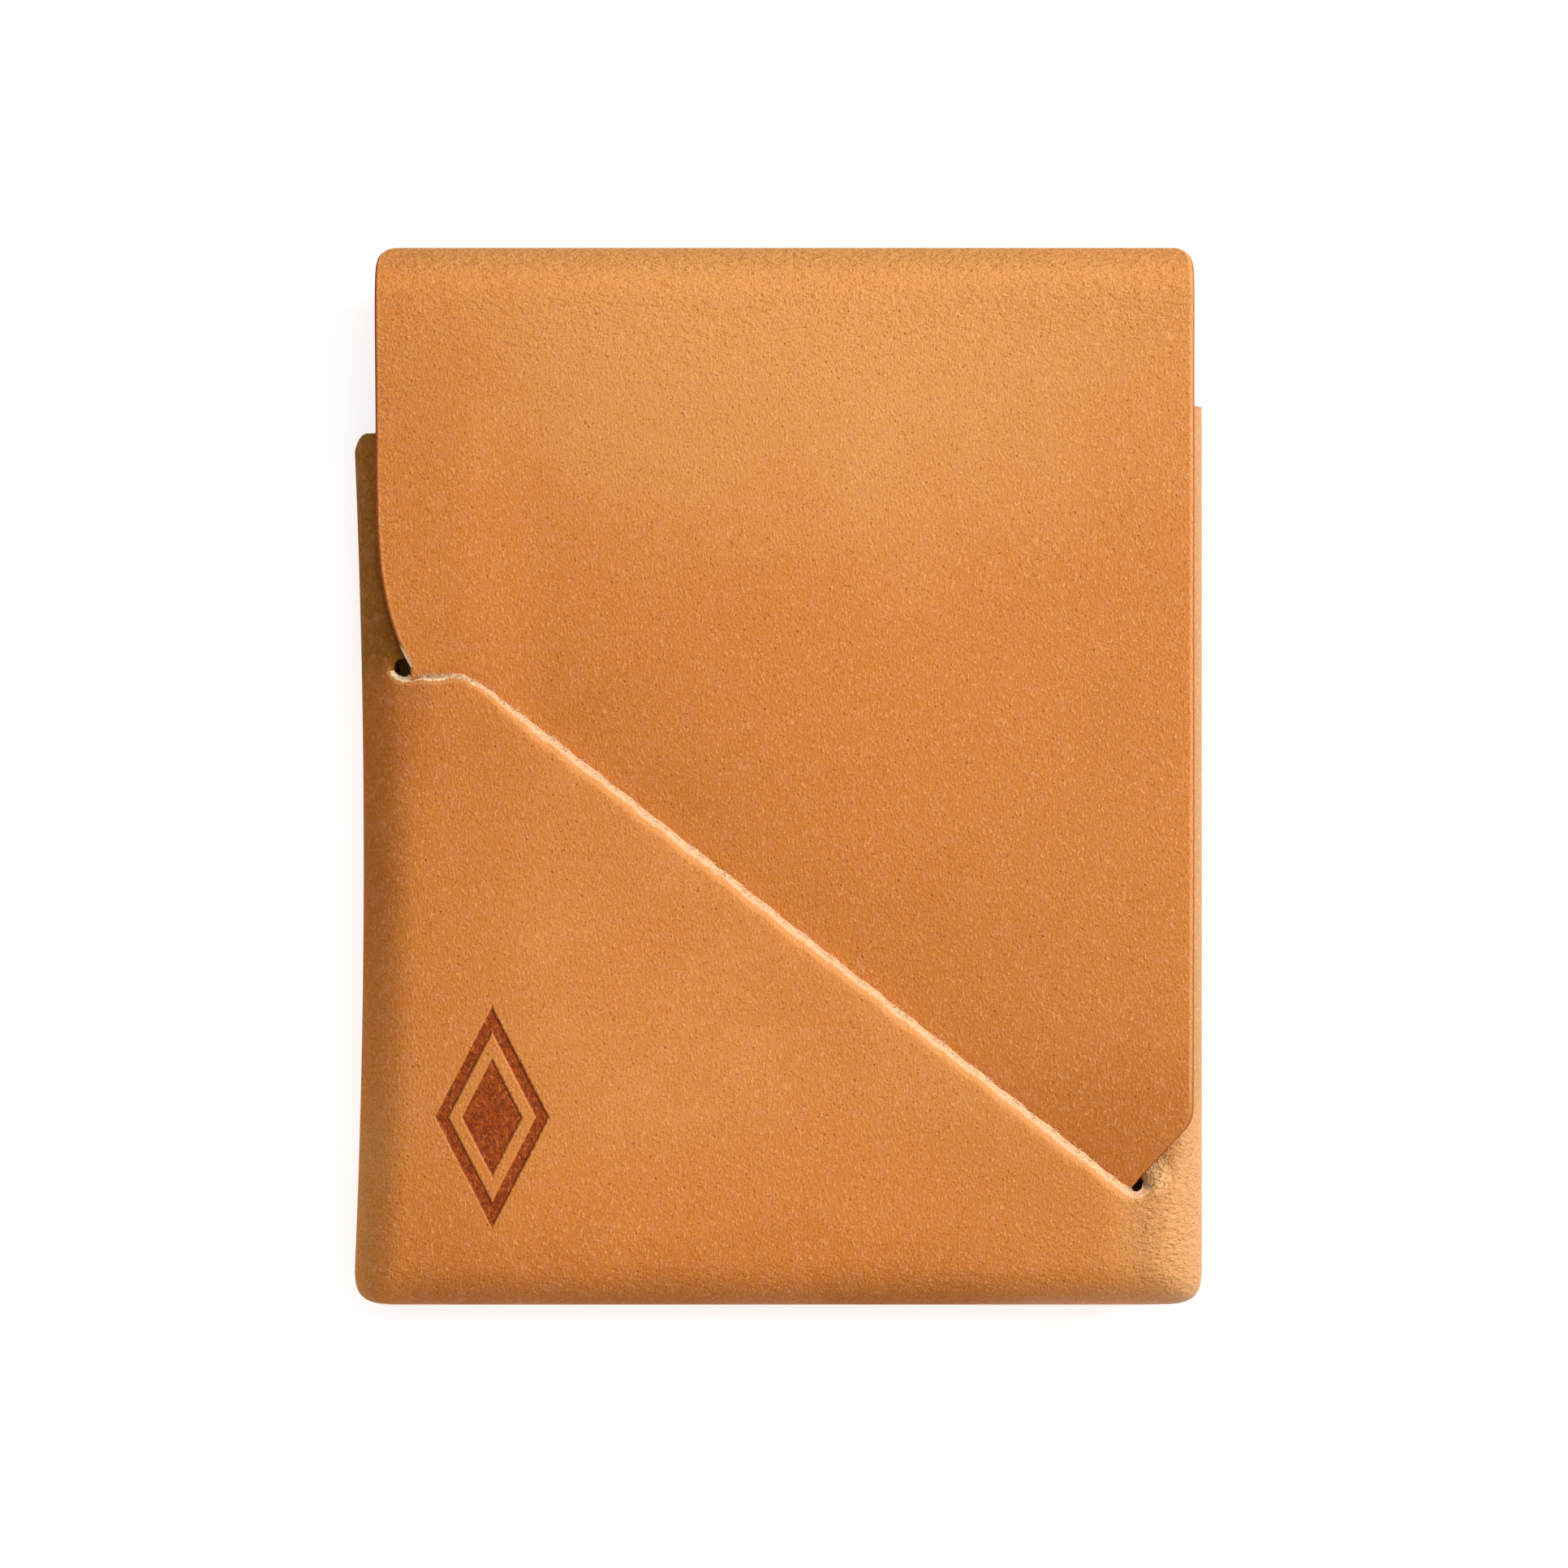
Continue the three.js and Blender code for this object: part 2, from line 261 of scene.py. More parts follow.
print("slit from height", *(round(float(slit_y(hole[0])), 1) for hole in (SLIT_START, SLIT_END)))

# %% [markdown]
# ## How the leather lies
# Thick leather is never quite flat. A few long waves, shared by the flap and the panel under it,
# keep the two from looking ruled.


# %% Long waves
def waves(x, y):
    """Long shallow waves of about a tenth of a millimetre: a sum of three sines."""
    return (
        0.10 * np.sin(0.075 * x + 0.05 * y + 0.4)
        + 0.07 * np.sin(0.13 * x - 0.09 * y + 2.1)
        + 0.05 * np.sin(0.05 * x + 0.19 * y + 1.0)
    )


# %% [markdown]
# ## Where the flap presses
# Over the pocket the flap lies level. Towards the slit it dips in a long gentle slope, so that it
# can go under the lip, and it presses the panel beneath it down by the same amount. The dip and the
# flap's left outline are needed for both pieces, so they are worked out first.

# %% The dip and the flap's outline
DIP, DIP_LENGTH, DIP_LESS = 2.3, 15, 0.28
SLIT_LEFT_X, SLIT_RIGHT_X = SLIT_START[0] + 1.5, SLIT_END[0] + 0.15
CORNER_Y = -32.4  # where the flap's right edge turns in to the slit


def dip(x, y):
    """How far the flap is below its level: DIP exp(-d / DIP_LENGTH), where d is the distance from
    the slit's slanted line, drawn on past the right hole. It is DIP_LESS less left of the knee."""
    line = SLIT_KNEE[1] + SLOPE_OUT * (x - SLIT_KNEE[0])
    distance = np.where(x > SLIT_KNEE[0] + 6, (y - line) / math.hypot(1, SLOPE_OUT), slit_side(x, y))
    depth = DIP * (1 - DIP_LESS * smooth(-x, 22, 30))
    return depth * np.exp(-np.clip(distance, 0, None) / DIP_LENGTH)


def left_outline(y):
    """The flap's left edge: straight, then in to the slit as the 3.8th power of the way down."""
    low = slit_y(np.array(SLIT_LEFT_X))
    bend = np.clip((32 - y) / (32 - low), 0, 1) ** 3.8
    return FLAP_LEFT + (SLIT_LEFT_X - FLAP_LEFT) * bend


def under_flap(x, y):
    """1 under the flap, falling to 0 just outside its left edge and its slanted right corner."""
    run, rise = FLAP_RIGHT - SLIT_RIGHT_X, CORNER_Y - SLIT_END[1]
    inside = ((y - SLIT_END[1]) * run - (x - SLIT_RIGHT_X) * rise) / math.hypot(run, rise)
    return smooth(x - left_outline(y), -1.9, 0.4) * smooth(inside, -2.3, 0.5)


def side_roll(x):
    """The front rolls off gently towards its left side before the fold proper: a parabola."""
    return 0.75 * np.clip((-x - 21) / 14, 0, 1.3) ** 2


# %% [markdown]
# ## How deep the tan is
# The colour of the leather changes from place to place, and so does the light on it. A number from 0
# (palest honey) to 1 (deep brown) is kept at each point of the sheets, and the finish turns it into
# a colour. Most of it is painted light and shade: paler where the lamp falls fullest, darker where the
# leather turns away from the lamp or lies in the flap's shadow.


# %% Tone of the tan
def flap_painted_shade(x, y):
    """Painted light and shade: pale near the top's middle, where the lamp falls fullest, deeper with
    distance from it, and deepest at the flap's corner, where the flap dips away from the lamp.
    """
    # painted light: palest near the top's middle
    away = np.hypot(0.6 * (x - 6), y - 44)
    # painted shade at the flap's corner, which dips away from the lamp
    corner = 0.32 * bell(np.hypot(x - SLIT_END[0], y - SLIT_END[1]), 12)
    return 0.45 * smooth(away, 5, 40) + corner


def pouch_tone_and_shade(s, y):
    """Deeper towards the bottom. Painted shade round the left side, which turns away from the lamp, and
    a painted shadow beside the flap's edge and round the left hole; paler again at the lower left corner."""
    # painted shade round the left side, which turns away from the lamp
    left = (0.22 * smooth(-s, 20, 34) + 0.40 * smooth(-s, 32, 43)) * (1 - 0.95 * smooth(-y, 2, 38))
    # painted shadow of the flap's edge on the side fold, and round the left hole
    beside = 0.30 * smooth(y, 6, 16) * smooth(-s, 33, 37)
    beside = beside + 0.45 * bell(np.hypot(s - SLIT_START[0] + 0.2, (y - 12.6) * 0.8), 2.2)
    low = 0.40 * smooth(-y, 30, 50) * smooth(-s, -34, -16) * smooth(s, -44, -34)
    corner = 0.25 * smooth(-s, 32, 40) * smooth(-y, 24, 44)
    return 0.25 + left + beside + low - corner + 0.10 * smooth(s, 36, 42)


# %% [markdown]
# ## The pouch
# On the real holder one stretch of leather makes the front, turns round both sides to the wings
# behind, and turns round the bottom to the panel behind the cards. It could be built from six
# plates with seams, but real leather has no seams there, so it is one grid. Columns run from the
# left wing's edge round the front to the right wing's edge. Rows run from the mouth down the front,
# round the bottom and up the back panel. The row that follows the slit is doubled, which opens it.


# %% Columns and rows of the pouch
def stretch(*parts):
    """Grid positions made of parts (start, end, step), each spaced evenly, joined in order."""
    pieces = [np.linspace(a, b, max(2, int(round(abs(b - a) / step)) + 1)) for a, b, step in parts]
    return np.unique(np.round(np.concatenate(pieces), 4))


QUARTER = SIDE_R * math.pi / 2
EDGE_S = FLAT_X + QUARTER  # the outermost line of the side folds, measured along the leather
SLIM = FLAT_X + 1.1  # half width inside the sleeve
STAMP_X, STAMP_Y = -26.9, -32.0  # the middle of the pressed mark,
STAMP_W, STAMP_H = 5.35, 10.35  # and half its width and height
STAMP_LEFT, STAMP_RIGHT = STAMP_X - STAMP_W - 0.6, STAMP_X + STAMP_W + 0.6
left_hole, right_hole = SLIT_START, SLIT_END

columns = stretch(
    (-EDGE_S, left_hole[0] - HOLE_R, 0.65), (left_hole[0] - HOLE_R, left_hole[0] + HOLE_R, 0.17),
    (left_hole[0] + HOLE_R, STAMP_LEFT, 0.62), (STAMP_LEFT, STAMP_RIGHT, 0.33),
    (STAMP_RIGHT, right_hole[0] - HOLE_R, 0.66),
    (right_hole[0] - HOLE_R, right_hole[0] + HOLE_R, 0.17), (right_hole[0] + HOLE_R, EDGE_S, 0.65),
)
skirt = EDGE_S + stretch((0, QUARTER, 0.95), (QUARTER, QUARTER + FLAT_X - WING_INNER, 3.2))[1:]
across = np.concatenate([-skirt[::-1], columns, skirt])
is_front = np.abs(across) <= EDGE_S + 1e-6
TUCK_ANGLE = math.radians(50)  # the bottom fold is tucked in behind the side folds
TUCK_S = FLAT_X + SIDE_R * TUCK_ANGLE
TUCK_SHARE = (SLIM - FLAT_X) / (SIDE_R * math.sin(TUCK_ANGLE))  # width left at the slim back panel
is_slim = np.abs(across) <= TUCK_S
in_slit = (across > left_hole[0] - HOLE_R + 1e-6) & (across < right_hole[0] + HOLE_R - 1e-6)

# Distances of the closely spaced rows from the lower and from the upper edge of the slit.
NEAR_LIP = np.array([0, 0.16, 0.32, 0.48, 0.64, 0.82, 1.05, 1.35, 1.8, 2.5])
NEAR_TOP = np.array([0, 0.3, 0.7, 1.3, 2.2])
UPPER_ROWS, LOWER_ROWS = 34, 66
print(len(across), "columns")


# %% Outlines of the mouth and of the slit
def mouth_y(s):
    """The slanted mouth, with its left corner cut off where the leather turns the side."""
    slant = MOUTH - (MOUTH - 32.4) * (1 - np.clip((s + FLAT_X) / (2 * FLAT_X), 0, 1))
    return slant - 1.9 * smooth(-s, FLAT_X + 4.4, EDGE_S + 0.2)


def hole_rise(s, hole):
    """Half the chord of a round hole at s: sqrt(r^2 - (s - centre)^2)."""
    return np.sqrt(np.clip(HOLE_R**2 - (s - hole[0]) ** 2, 0, None))


def ragged(s):
    """The knife's small wanderings along the slit, up to 0.1 mm: a sum of two sines."""
    return 0.06 * np.sin(1.9 * s) + 0.04 * np.sin(4.3 * s + 1)


def slit_edges(s):
    """The upper and the lower edge of the open slit, with a round hole at each end."""
    line, lean = slit_y(s), slit_lean(s)
    inside = (s > left_hole[0]) & (s < right_hole[0])
    upper = np.where(inside, line + UPPER_LIP * lean, line)
    lower = np.where(inside, line - (LIP + ragged(s)) * lean, line)
    for hole in (left_hole, right_hole):
        near = np.abs(s - hole[0]) < HOLE_R
        rise = hole_rise(s, hole)
        upper = np.where(near, np.maximum(upper, hole[1] + rise), upper)
        lower = np.where(near, np.minimum(lower, hole[1] - rise), lower)
    return np.where(in_slit, upper, line), np.where(in_slit, lower, line)


# %% Points of the pouch's front
LIP_RISE, LIP_SPREAD = 0.32, 7.0  # how far the lower lip stands up, and how far that spreads
PUCKER, PUCKER_SPREAD = 0.08, 3.4  # the same for the pucker in the lower right corner
SIDE_DRAW = 0.85  # how far the left side is drawn in


def from_opening(s, y, below):
    """Distance from the slit's edge or from either hole's edge, whichever is nearer, and the
    distance from the holes alone."""
    holes = [np.hypot(s - h[0], y - h[1]) - HOLE_R for h in (left_hole, right_hole)]
    from_holes = np.minimum(*holes)
    inside = (s > left_hole[0]) & (s < right_hole[0])
    from_line = np.where(below, -slit_side(s, y) - LIP - ragged(s), slit_side(s, y) - UPPER_LIP)
    nearest = np.where(inside, np.minimum(from_line, from_holes), from_holes)
    return np.clip(nearest, 0, FAR), from_holes


def raw_width(s):
    """The raw face's width as a share of its full width: a little uneven, and narrower left of
    the slit's knee."""
    return 0.72 + 0.28 * smooth(s, -31, -24) + 0.10 * np.sin(0.9 * s) * np.sin(0.37 * s + 1)


def lip_drop(distance):
    """How far the cut edge falls below the grain: a slanted raw face, then a rounded shoulder."""
    return np.interp(distance, [0, 0.62, 0.8, 1.15, 1.5], [1.05, 0.30, 0.20, 0.03, 0])


def front_relief(s, y, below):
    """Height added to the flat front: the lip stands up, and the panel over it is pressed down
    under the flap. Beyond the right hole the leather is whole, so both sides dip alike there.
    Also gives the distance from the cut as a share of the raw face's width."""
    distance, from_holes = from_opening(s, y, below)
    lip = LIP_RISE * bell(distance, LIP_SPREAD) * along_slit(s)
    pressed = (dip(s, y) - 0.15) * under_flap(s, y) * (1 - 0.85 * smooth(s, 35.5, 39.5))
    round_hole = np.arctan2(y - right_hole[1], s - right_hole[0])
    past_hole = np.where(s > right_hole[0], smooth(round_hole, -math.pi / 2, -0.15), 0)
    face = distance / raw_width(s)
    edge = np.where(from_holes < distance + 1e-3, 0.5 * lip_drop(1.7 * distance),
                    (np.minimum(raw_width(s), 1) - 0.42 * smooth(-s, 24, 31)) * lip_drop(face))
    pucker = PUCKER * bell(np.hypot(s - 37.5, (y + 41.0) * 0.7), PUCKER_SPREAD)
    lift = np.where(below, lip - past_hole * pressed, -pressed)
    return lift - edge + pucker - side_roll(s), face


def waist(x, y):
    """The left side is drawn in, most at mid height, as a parabola in y."""
    return SIDE_DRAW * np.clip(1 - ((y + 8) / 39) ** 2, 0, 1) * smooth(-x, 22, FLAT_X + 3)


def pouch_point(s, y_flat, turn, below):
    """A point of the pouch's outer face. s runs across the leather, and turn is the angle round the
    bottom fold. Side and bottom angles a and b give sines p and q, and the plan position is
    p(1 - q^4/2)^(1/4), q(1 - p^4/2)^(1/4): a square whose corners are rounded."""
    side = np.clip((np.abs(s) - FLAT_X) / SIDE_R, 0, math.pi)
    past = np.clip(np.abs(s) - FLAT_X - SIDE_R * math.pi, 0, None)
    p, q = np.sin(side), np.sin(turn)
    x = np.sign(s) * (np.minimum(np.abs(s), FLAT_X) + SIDE_R * p * (1 - q**4 / 2) ** 0.25 - past)
    y = y_flat - BOTTOM_R * q * (1 - p**4 / 2) ** 0.25
    share = np.clip(np.sqrt(p**4 + q**4 - p**4 * q**4), 0, 1)
    radius = np.where(p + q > 1e-9, (SIDE_R * p**4 + BOTTOM_R * q**4) / (p**4 + q**4 + 1e-12), SIDE_R)
    equator = FRONT_TOP - radius
    above = (side <= math.pi / 2 + 1e-9) & (turn <= math.pi / 2 + 1e-9)
    floor = np.where(turn > math.pi / 2, BACK_LOW, WING_LOW)
    around = np.where(turn > math.pi / 2, np.cos(math.pi - turn), np.sqrt(1 - p**2))
    z = np.where(above, equator + radius * np.sqrt(1 - share), equator - (equator - floor) * around)
    narrow = 1 - (1 - TUCK_SHARE) * smooth(turn, math.pi / 2, math.pi)
    beyond = np.clip(np.abs(x) - FLAT_X, 0, None)
    x = np.where(turn > math.pi / 2, np.sign(x) * (np.minimum(np.abs(x), FLAT_X) + beyond * narrow), x)
    relief, distance = front_relief(s, y, below)
    on_front = np.cos(np.minimum(side, math.pi / 2)) * np.cos(np.minimum(turn, math.pi / 2))
    z = z + np.where(above, on_front * (relief + waves(x, y)), 0)
    return x + waist(x, y), y, z, np.where(above, distance, FAR)


# %% Rows of the pouch
upper_edge, lower_edge = slit_edges(across)
mouth = mouth_y(across)
reach_up = mouth - upper_edge
share_up = np.linspace(0, 1, UPPER_ROWS + 1)[1:, None]
rows_up = np.concatenate([
    upper_edge + NEAR_TOP[:, None] + 0 * across,
    upper_edge + NEAR_TOP[-1] + share_up * (reach_up - NEAR_TOP[-1]),
])[::-1]
reach_down = lower_edge - FLAT_Y
share_down = np.linspace(0, 1, LOWER_ROWS + 1)[1:, None]
lean = slit_lean(across)
steps_down = NEAR_LIP[:, None] * np.where(in_slit, lean, 1)
rows_down = np.concatenate([
    lower_edge - steps_down,
    lower_edge - steps_down[-1] - share_down * (reach_down - steps_down[-1]),
])
bottom_turn = np.radians(np.concatenate([np.arange(8, 90, 8), [90], np.arange(102, 181, 13), [180]]))
back_rows = stretch((FLAT_Y + 2.5, MOUTH, 2.6), (MOUTH, FOLD_Y, 0.6))
fold_rows = np.radians(np.arange(3, 45.1, 3))


def crown_inset(angle):
    """The flap's side edges draw in by 1.3 mm at the crown of the fold, which rounds its corners."""
    return 1.3 * np.clip(np.sin(angle), 0, 1) ** 9


def fold_point(u, angle):
    """A point of the top fold's outer face: u from 0 to 1 across, angle from 0 under the back
    panel's end, through 90 degrees at the crown, to 180 where the flap starts."""
    inset = crown_inset(angle)
    x = FLAP_LEFT + inset + u * (FLAP_RIGHT - FLAP_LEFT - 2 * inset)
    y = FOLD_Y + TOP_R * np.sin(angle)
    ease = smooth(angle, math.pi * 0.75, math.pi)
    return x, y, FOLD_Z - TOP_R * np.cos(angle) + ease * waves(x, y)


# %% The pouch's mesh
def pouch_rows():
    """x, y, z and distance from a cut for every row and column. The blocks of rows are the front
    above and below the slit, the bottom fold, the back panel, and the start of the top fold."""
    blocks = []
    for rows, below in ((rows_up, False), (rows_down, True)):
        s = np.broadcast_to(across, rows.shape)
        blocks.append(pouch_point(s, rows, np.zeros(rows.shape), np.full(rows.shape, below)))
    turn = np.broadcast_to(bottom_turn[:, None], (len(bottom_turn), len(across)))
    s = np.broadcast_to(across, turn.shape)
    blocks.append(pouch_point(s, np.full(turn.shape, FLAT_Y), turn, np.full(turn.shape, True)))
    turned = SIDE_R * np.sin(np.clip(np.abs(across) - FLAT_X, 0, None) / SIDE_R)
    slim_x = np.sign(across) * (np.minimum(np.abs(across), FLAT_X) + turned * TUCK_SHARE)
    u = np.clip((slim_x + SLIM) / (2 * SLIM), 0, 1)
    y = np.broadcast_to(back_rows[:, None], (len(back_rows), len(across)))
    wide = smooth(y, MOUTH + 0.6, FOLD_Y)
    x = slim_x * (1 - wide) + wide * (FLAP_LEFT + u * (FLAP_RIGHT - FLAP_LEFT))
    blocks.append((x, y, np.full(y.shape, BACK_LOW), np.full(y.shape, FAR)))
    angle = np.broadcast_to(fold_rows[:, None], (len(fold_rows), len(across)))
    x, y, z = fold_point(np.broadcast_to(u, angle.shape), angle)
    blocks.append((x, y, z, np.full(angle.shape, FAR)))
    return [np.concatenate([block[k] for block in blocks]) for k in range(4)]


px, py, pz, cut = pouch_rows()
ids = np.arange(px.size).reshape(px.shape)
first_low = len(rows_up)
first_turn = first_low + len(rows_down)
first_under = first_turn + int(np.sum(bottom_turn <= math.pi / 2 + 1e-9))
WING_TURN = math.radians(62)  # the wings end a little way round the bottom
wing_rows = first_turn + int(np.sum(bottom_turn < WING_TURN))
ids[first_low, ~in_slit] = ids[first_low - 1, ~in_slit]  # the sheet is whole beyond the slit
used = np.ones(px.shape, bool)
used[wing_rows:, ~is_front] = False
used[first_under:, ~is_slim] = False
ids = np.where(used, ids, -1)
faces = np.concatenate([quads_of(ids[:first_low]), quads_of(ids[first_low:])])
kept, faces = np.unique(faces, return_inverse=True)
faces = faces.reshape(-1, 4)
points = np.stack([px.ravel(), py.ravel(), pz.ravel()], axis=1)[kept]
cut_mm = cut.ravel()[kept]
row_number = np.arange(len(px))[:, None]
tone_and_shade = np.where(row_number < first_under, pouch_tone_and_shade(across + 0 * py, py), 0.3)
shown_cut = np.where(row_number < first_low, FAR, cut)  # only the lower lip shows its raw face
pouch = sheet_object("pouch_leather", points, faces, {
    "cut": shown_cut.ravel()[kept], "tone_and_shade": tone_and_shade.ravel()[kept], "rim": np.full(cut_mm.size, FAR),
})
thicken(pouch, bell(cut_mm, 1.0))
print(len(px), "rows")

# %% [markdown]
# ## The rounded top fold
# The top fold is a living hinge: on the real holder it unrolls when the flap opens. The frame shares the
# half turn between four hinges, so the leather is parted where it is straight, half way along each
# stretch, one part for each hinge. Parted and closed, the parts read as one smooth roll.


# %% Parts of the fold
FOLD_PARTS = 4
PART_TURN = math.pi / FOLD_PARTS
ROUNDS = 17  # rows in each part
EDGE_STEPS = np.array([0, 0.06, 0.14, 0.25, 0.4, 0.65, 1.0, 1.6])  # columns near a cut edge
EDGE_ROUND = 0.35  # radius of the burnished edge


def across_shares(width, step):
    """Shares of the width from 0 to 1, spaced evenly in the middle and finely at both edges."""
    middle = np.linspace(EDGE_STEPS[-1], width - EDGE_STEPS[-1], int(width / step))
    return np.concatenate([EDGE_STEPS[:-1], middle, width - EDGE_STEPS[:-1][::-1]]) / width


def edge_fall(distance):
    """The burnished edge: the grain rolls over by a quarter round."""
    inside = np.clip(1 - distance / EDGE_ROUND, 0, 1)
    return EDGE_ROUND * (1 - np.sqrt(1 - inside**2 * 0.999))


flap_width = FLAP_RIGHT - FLAP_LEFT
shares = across_shares(flap_width, 0.6)


def fold_part(angles):
    """x, y, z and edge distance of the fold between two angles, falling inwards at its edges."""
    u, angle = np.meshgrid(shares, angles)
    x, y, z = fold_point(u, angle)
    from_edge = np.minimum(u, 1 - u) * flap_width
    fall = edge_fall(from_edge)
    return x, y - fall * np.sin(angle), z + fall * np.cos(angle), from_edge


fold_objects = []
for number, (name, bodies) in enumerate((
    ("fold_leather_back", ("fold_back", "fold_crown")),
    ("fold_leather_front", ("fold_crown", "fold_front")),
), start=1):
    x, y, z, from_edge = fold_part(np.linspace(number * PART_TURN, (number + 1) * PART_TURN, ROUNDS))
    part_points = np.stack([x.ravel(), y.ravel(), z.ravel()], axis=1)
    part_faces = quads_of(np.arange(x.size).reshape(x.shape))
    part = sheet_object(name, part_points, part_faces, {
        "cut": np.full(x.size, FAR), "tone_and_shade": flap_painted_shade(x, y).ravel(), "rim": from_edge.ravel(),
    })
    thicken(part, 0.25 * bell(from_edge.ravel(), 0.3))
    fold_objects.append((part, bodies))

# %% [markdown]
# ## The flap
# The flap's outline has four sides: the fold, a left edge that curves in to the slit, a right edge
# that turns a corner, and the slit's line. A patch stretched between four edges (a Coons patch)
# fills it with an even grid. Below the slit's line the same leather goes on as the tucked tongue.


# %% The flap's four edges
def left_edge(t):
    """The flap's left outline, from the fold (t = 0) to the slit (t = 1)."""
    y = FOLD_Y + (slit_y(np.array(SLIT_LEFT_X)) - FOLD_Y) * t
    return left_outline(y), y


def right_edge(t):
    """Straight down to a rounded corner, then slanting in to the end of the slit, by length. The
    corner is a curve pulled towards one point: (1 - b)^2 start + 2b(1 - b) corner + b^2 end."""
    bend = np.linspace(0, 1, 12)
    round_x, round_y = (
        (1 - bend) ** 2 * start + 2 * bend * (1 - bend) * corner + bend**2 * end
        for start, corner, end in ((FLAP_RIGHT, FLAP_RIGHT, FLAP_RIGHT - 0.9),
                                   (CORNER_Y + 1.3, CORNER_Y, CORNER_Y - 0.9))
    )
    path_x = np.concatenate([[FLAP_RIGHT], round_x, [SLIT_RIGHT_X]])
    path_y = np.concatenate([[FOLD_Y], round_y, [slit_y(np.array(SLIT_RIGHT_X))]])
    length = np.concatenate([[0], np.cumsum(np.hypot(np.diff(path_x), np.diff(path_y)))])
    at = t * length[-1]
    return np.interp(at, length, path_x), np.interp(at, length, path_y)


def flap_patch(u, t):
    """Coons patch: the two edges' blends added, less the blend of the four corners."""
    top_x, top_y = FLAP_LEFT + u * flap_width, np.full(u.shape, FOLD_Y)
    low_x = SLIT_LEFT_X + u * (SLIT_RIGHT_X - SLIT_LEFT_X)
    low_y = slit_y(low_x)
    (lx, ly), (rx, ry) = left_edge(t), right_edge(t)

    def blend(top, low, left, right, corners):
        top_left, top_right, low_left, low_right = corners
        ruled = (1 - t) * top + t * low + (1 - u) * left + u * right
        flat = (1 - t) * ((1 - u) * top_left + u * top_right) + t * ((1 - u) * low_left + u * low_right)
        return ruled - flat

    x = blend(top_x, low_x, lx, rx, (FLAP_LEFT, FLAP_RIGHT, SLIT_LEFT_X, SLIT_RIGHT_X))
    ends = slit_y(np.array([SLIT_LEFT_X, SLIT_RIGHT_X]))
    return x, blend(top_y, low_y, ly, ry, (FOLD_Y, FOLD_Y, ends[0], ends[1]))


# %% The flap's height
TONGUE_TOP = tongue[0, 2] + SKIN
TONGUE_REACH = 9.0  # how far the tongue goes on behind the slit


def flap_height(x, y):
    """Level over the pocket, dipping to the slit, then under the lip down to the tongue's level."""
    side = slit_side(x, y)
    under = (FLAP_TOP - dip(x, y) - TONGUE_TOP) * smooth(-side, 0, 4)
    level = 1 - smooth(-side, 0, 2)
    leave_fold = smooth(-y, -FOLD_Y, -FOLD_Y + 12)
    roll = 0.6 * side_roll(x) * leave_fold
    return FLAP_TOP - dip(x, y) * leave_fold - under - roll + level * waves(x, y)


# %% The flap's mesh
TORN_WIDTH = 0.4  # fibres show this far in from the flap's left edge
t_rows = np.concatenate([np.linspace(0, 0.88, 94), np.linspace(0.88, 1, 31)[1:]])
u, t = np.meshgrid(shares, t_rows)
x, y = flap_patch(u, t)
from_side = np.minimum(u, 1 - u) * flap_width
z = flap_height(x, y) - edge_fall(from_side)
inward = np.sin(np.linspace(0, math.pi / 2, 18))[1:, None]
narrowed = 0.05 * inward + 0.07 * (1 - np.sqrt(1 - 0.999 * inward**5))  # the tongue's round corners
base_x = SLIT_LEFT_X + (narrowed + shares * (1 - 2 * narrowed)) * (SLIT_RIGHT_X - SLIT_LEFT_X)
tongue_x = base_x - 0.35 * inward * TONGUE_REACH
tongue_y = slit_y(base_x) - 0.94 * inward * TONGUE_REACH
tongue_z = flap_height(tongue_x, tongue_y)
roll = fold_part(np.linspace(3 * PART_TURN, math.pi, ROUNDS)[:-1])
fx = np.concatenate([roll[0], x, tongue_x])
fy = np.concatenate([roll[1], y, tongue_y])
fz = np.concatenate([roll[2], z, tongue_z])
edge = np.concatenate([roll[3], from_side, np.full(tongue_x.shape, 5.0)])
torn = np.concatenate([roll[3], u * flap_width, np.full(tongue_x.shape, 5.0)]) / TORN_WIDTH
torn = torn + 6 * smooth(fy, 11.8, 14.2) + 6 * smooth(-fy, -9, -7)  # fibres show only beside the slit
flap_points = np.stack([fx.ravel(), fy.ravel(), fz.ravel()], axis=1)
flap_faces = quads_of(np.arange(fx.size).reshape(fx.shape))
flap_leather = sheet_object("flap_leather", flap_points, flap_faces, {
    "cut": torn.ravel(), "tone_and_shade": flap_painted_shade(fx, fy).ravel(), "rim": edge.ravel(),
})
thicken(flap_leather, 0.25 * bell(edge.ravel(), 0.3))
print("flap", fx.shape[0], "rows,", fx.shape[1], "columns")

# %% [markdown]
# ## Fibres along the slit
# The knife leaves the lip a little fuzzy. Short loose fibres stand out of the raw face, in tufts.
# A hair system could grow them, but a few hundred tiny tapered tubes are a plain mesh, and they
# stay on the lip when the flap is pulled out.


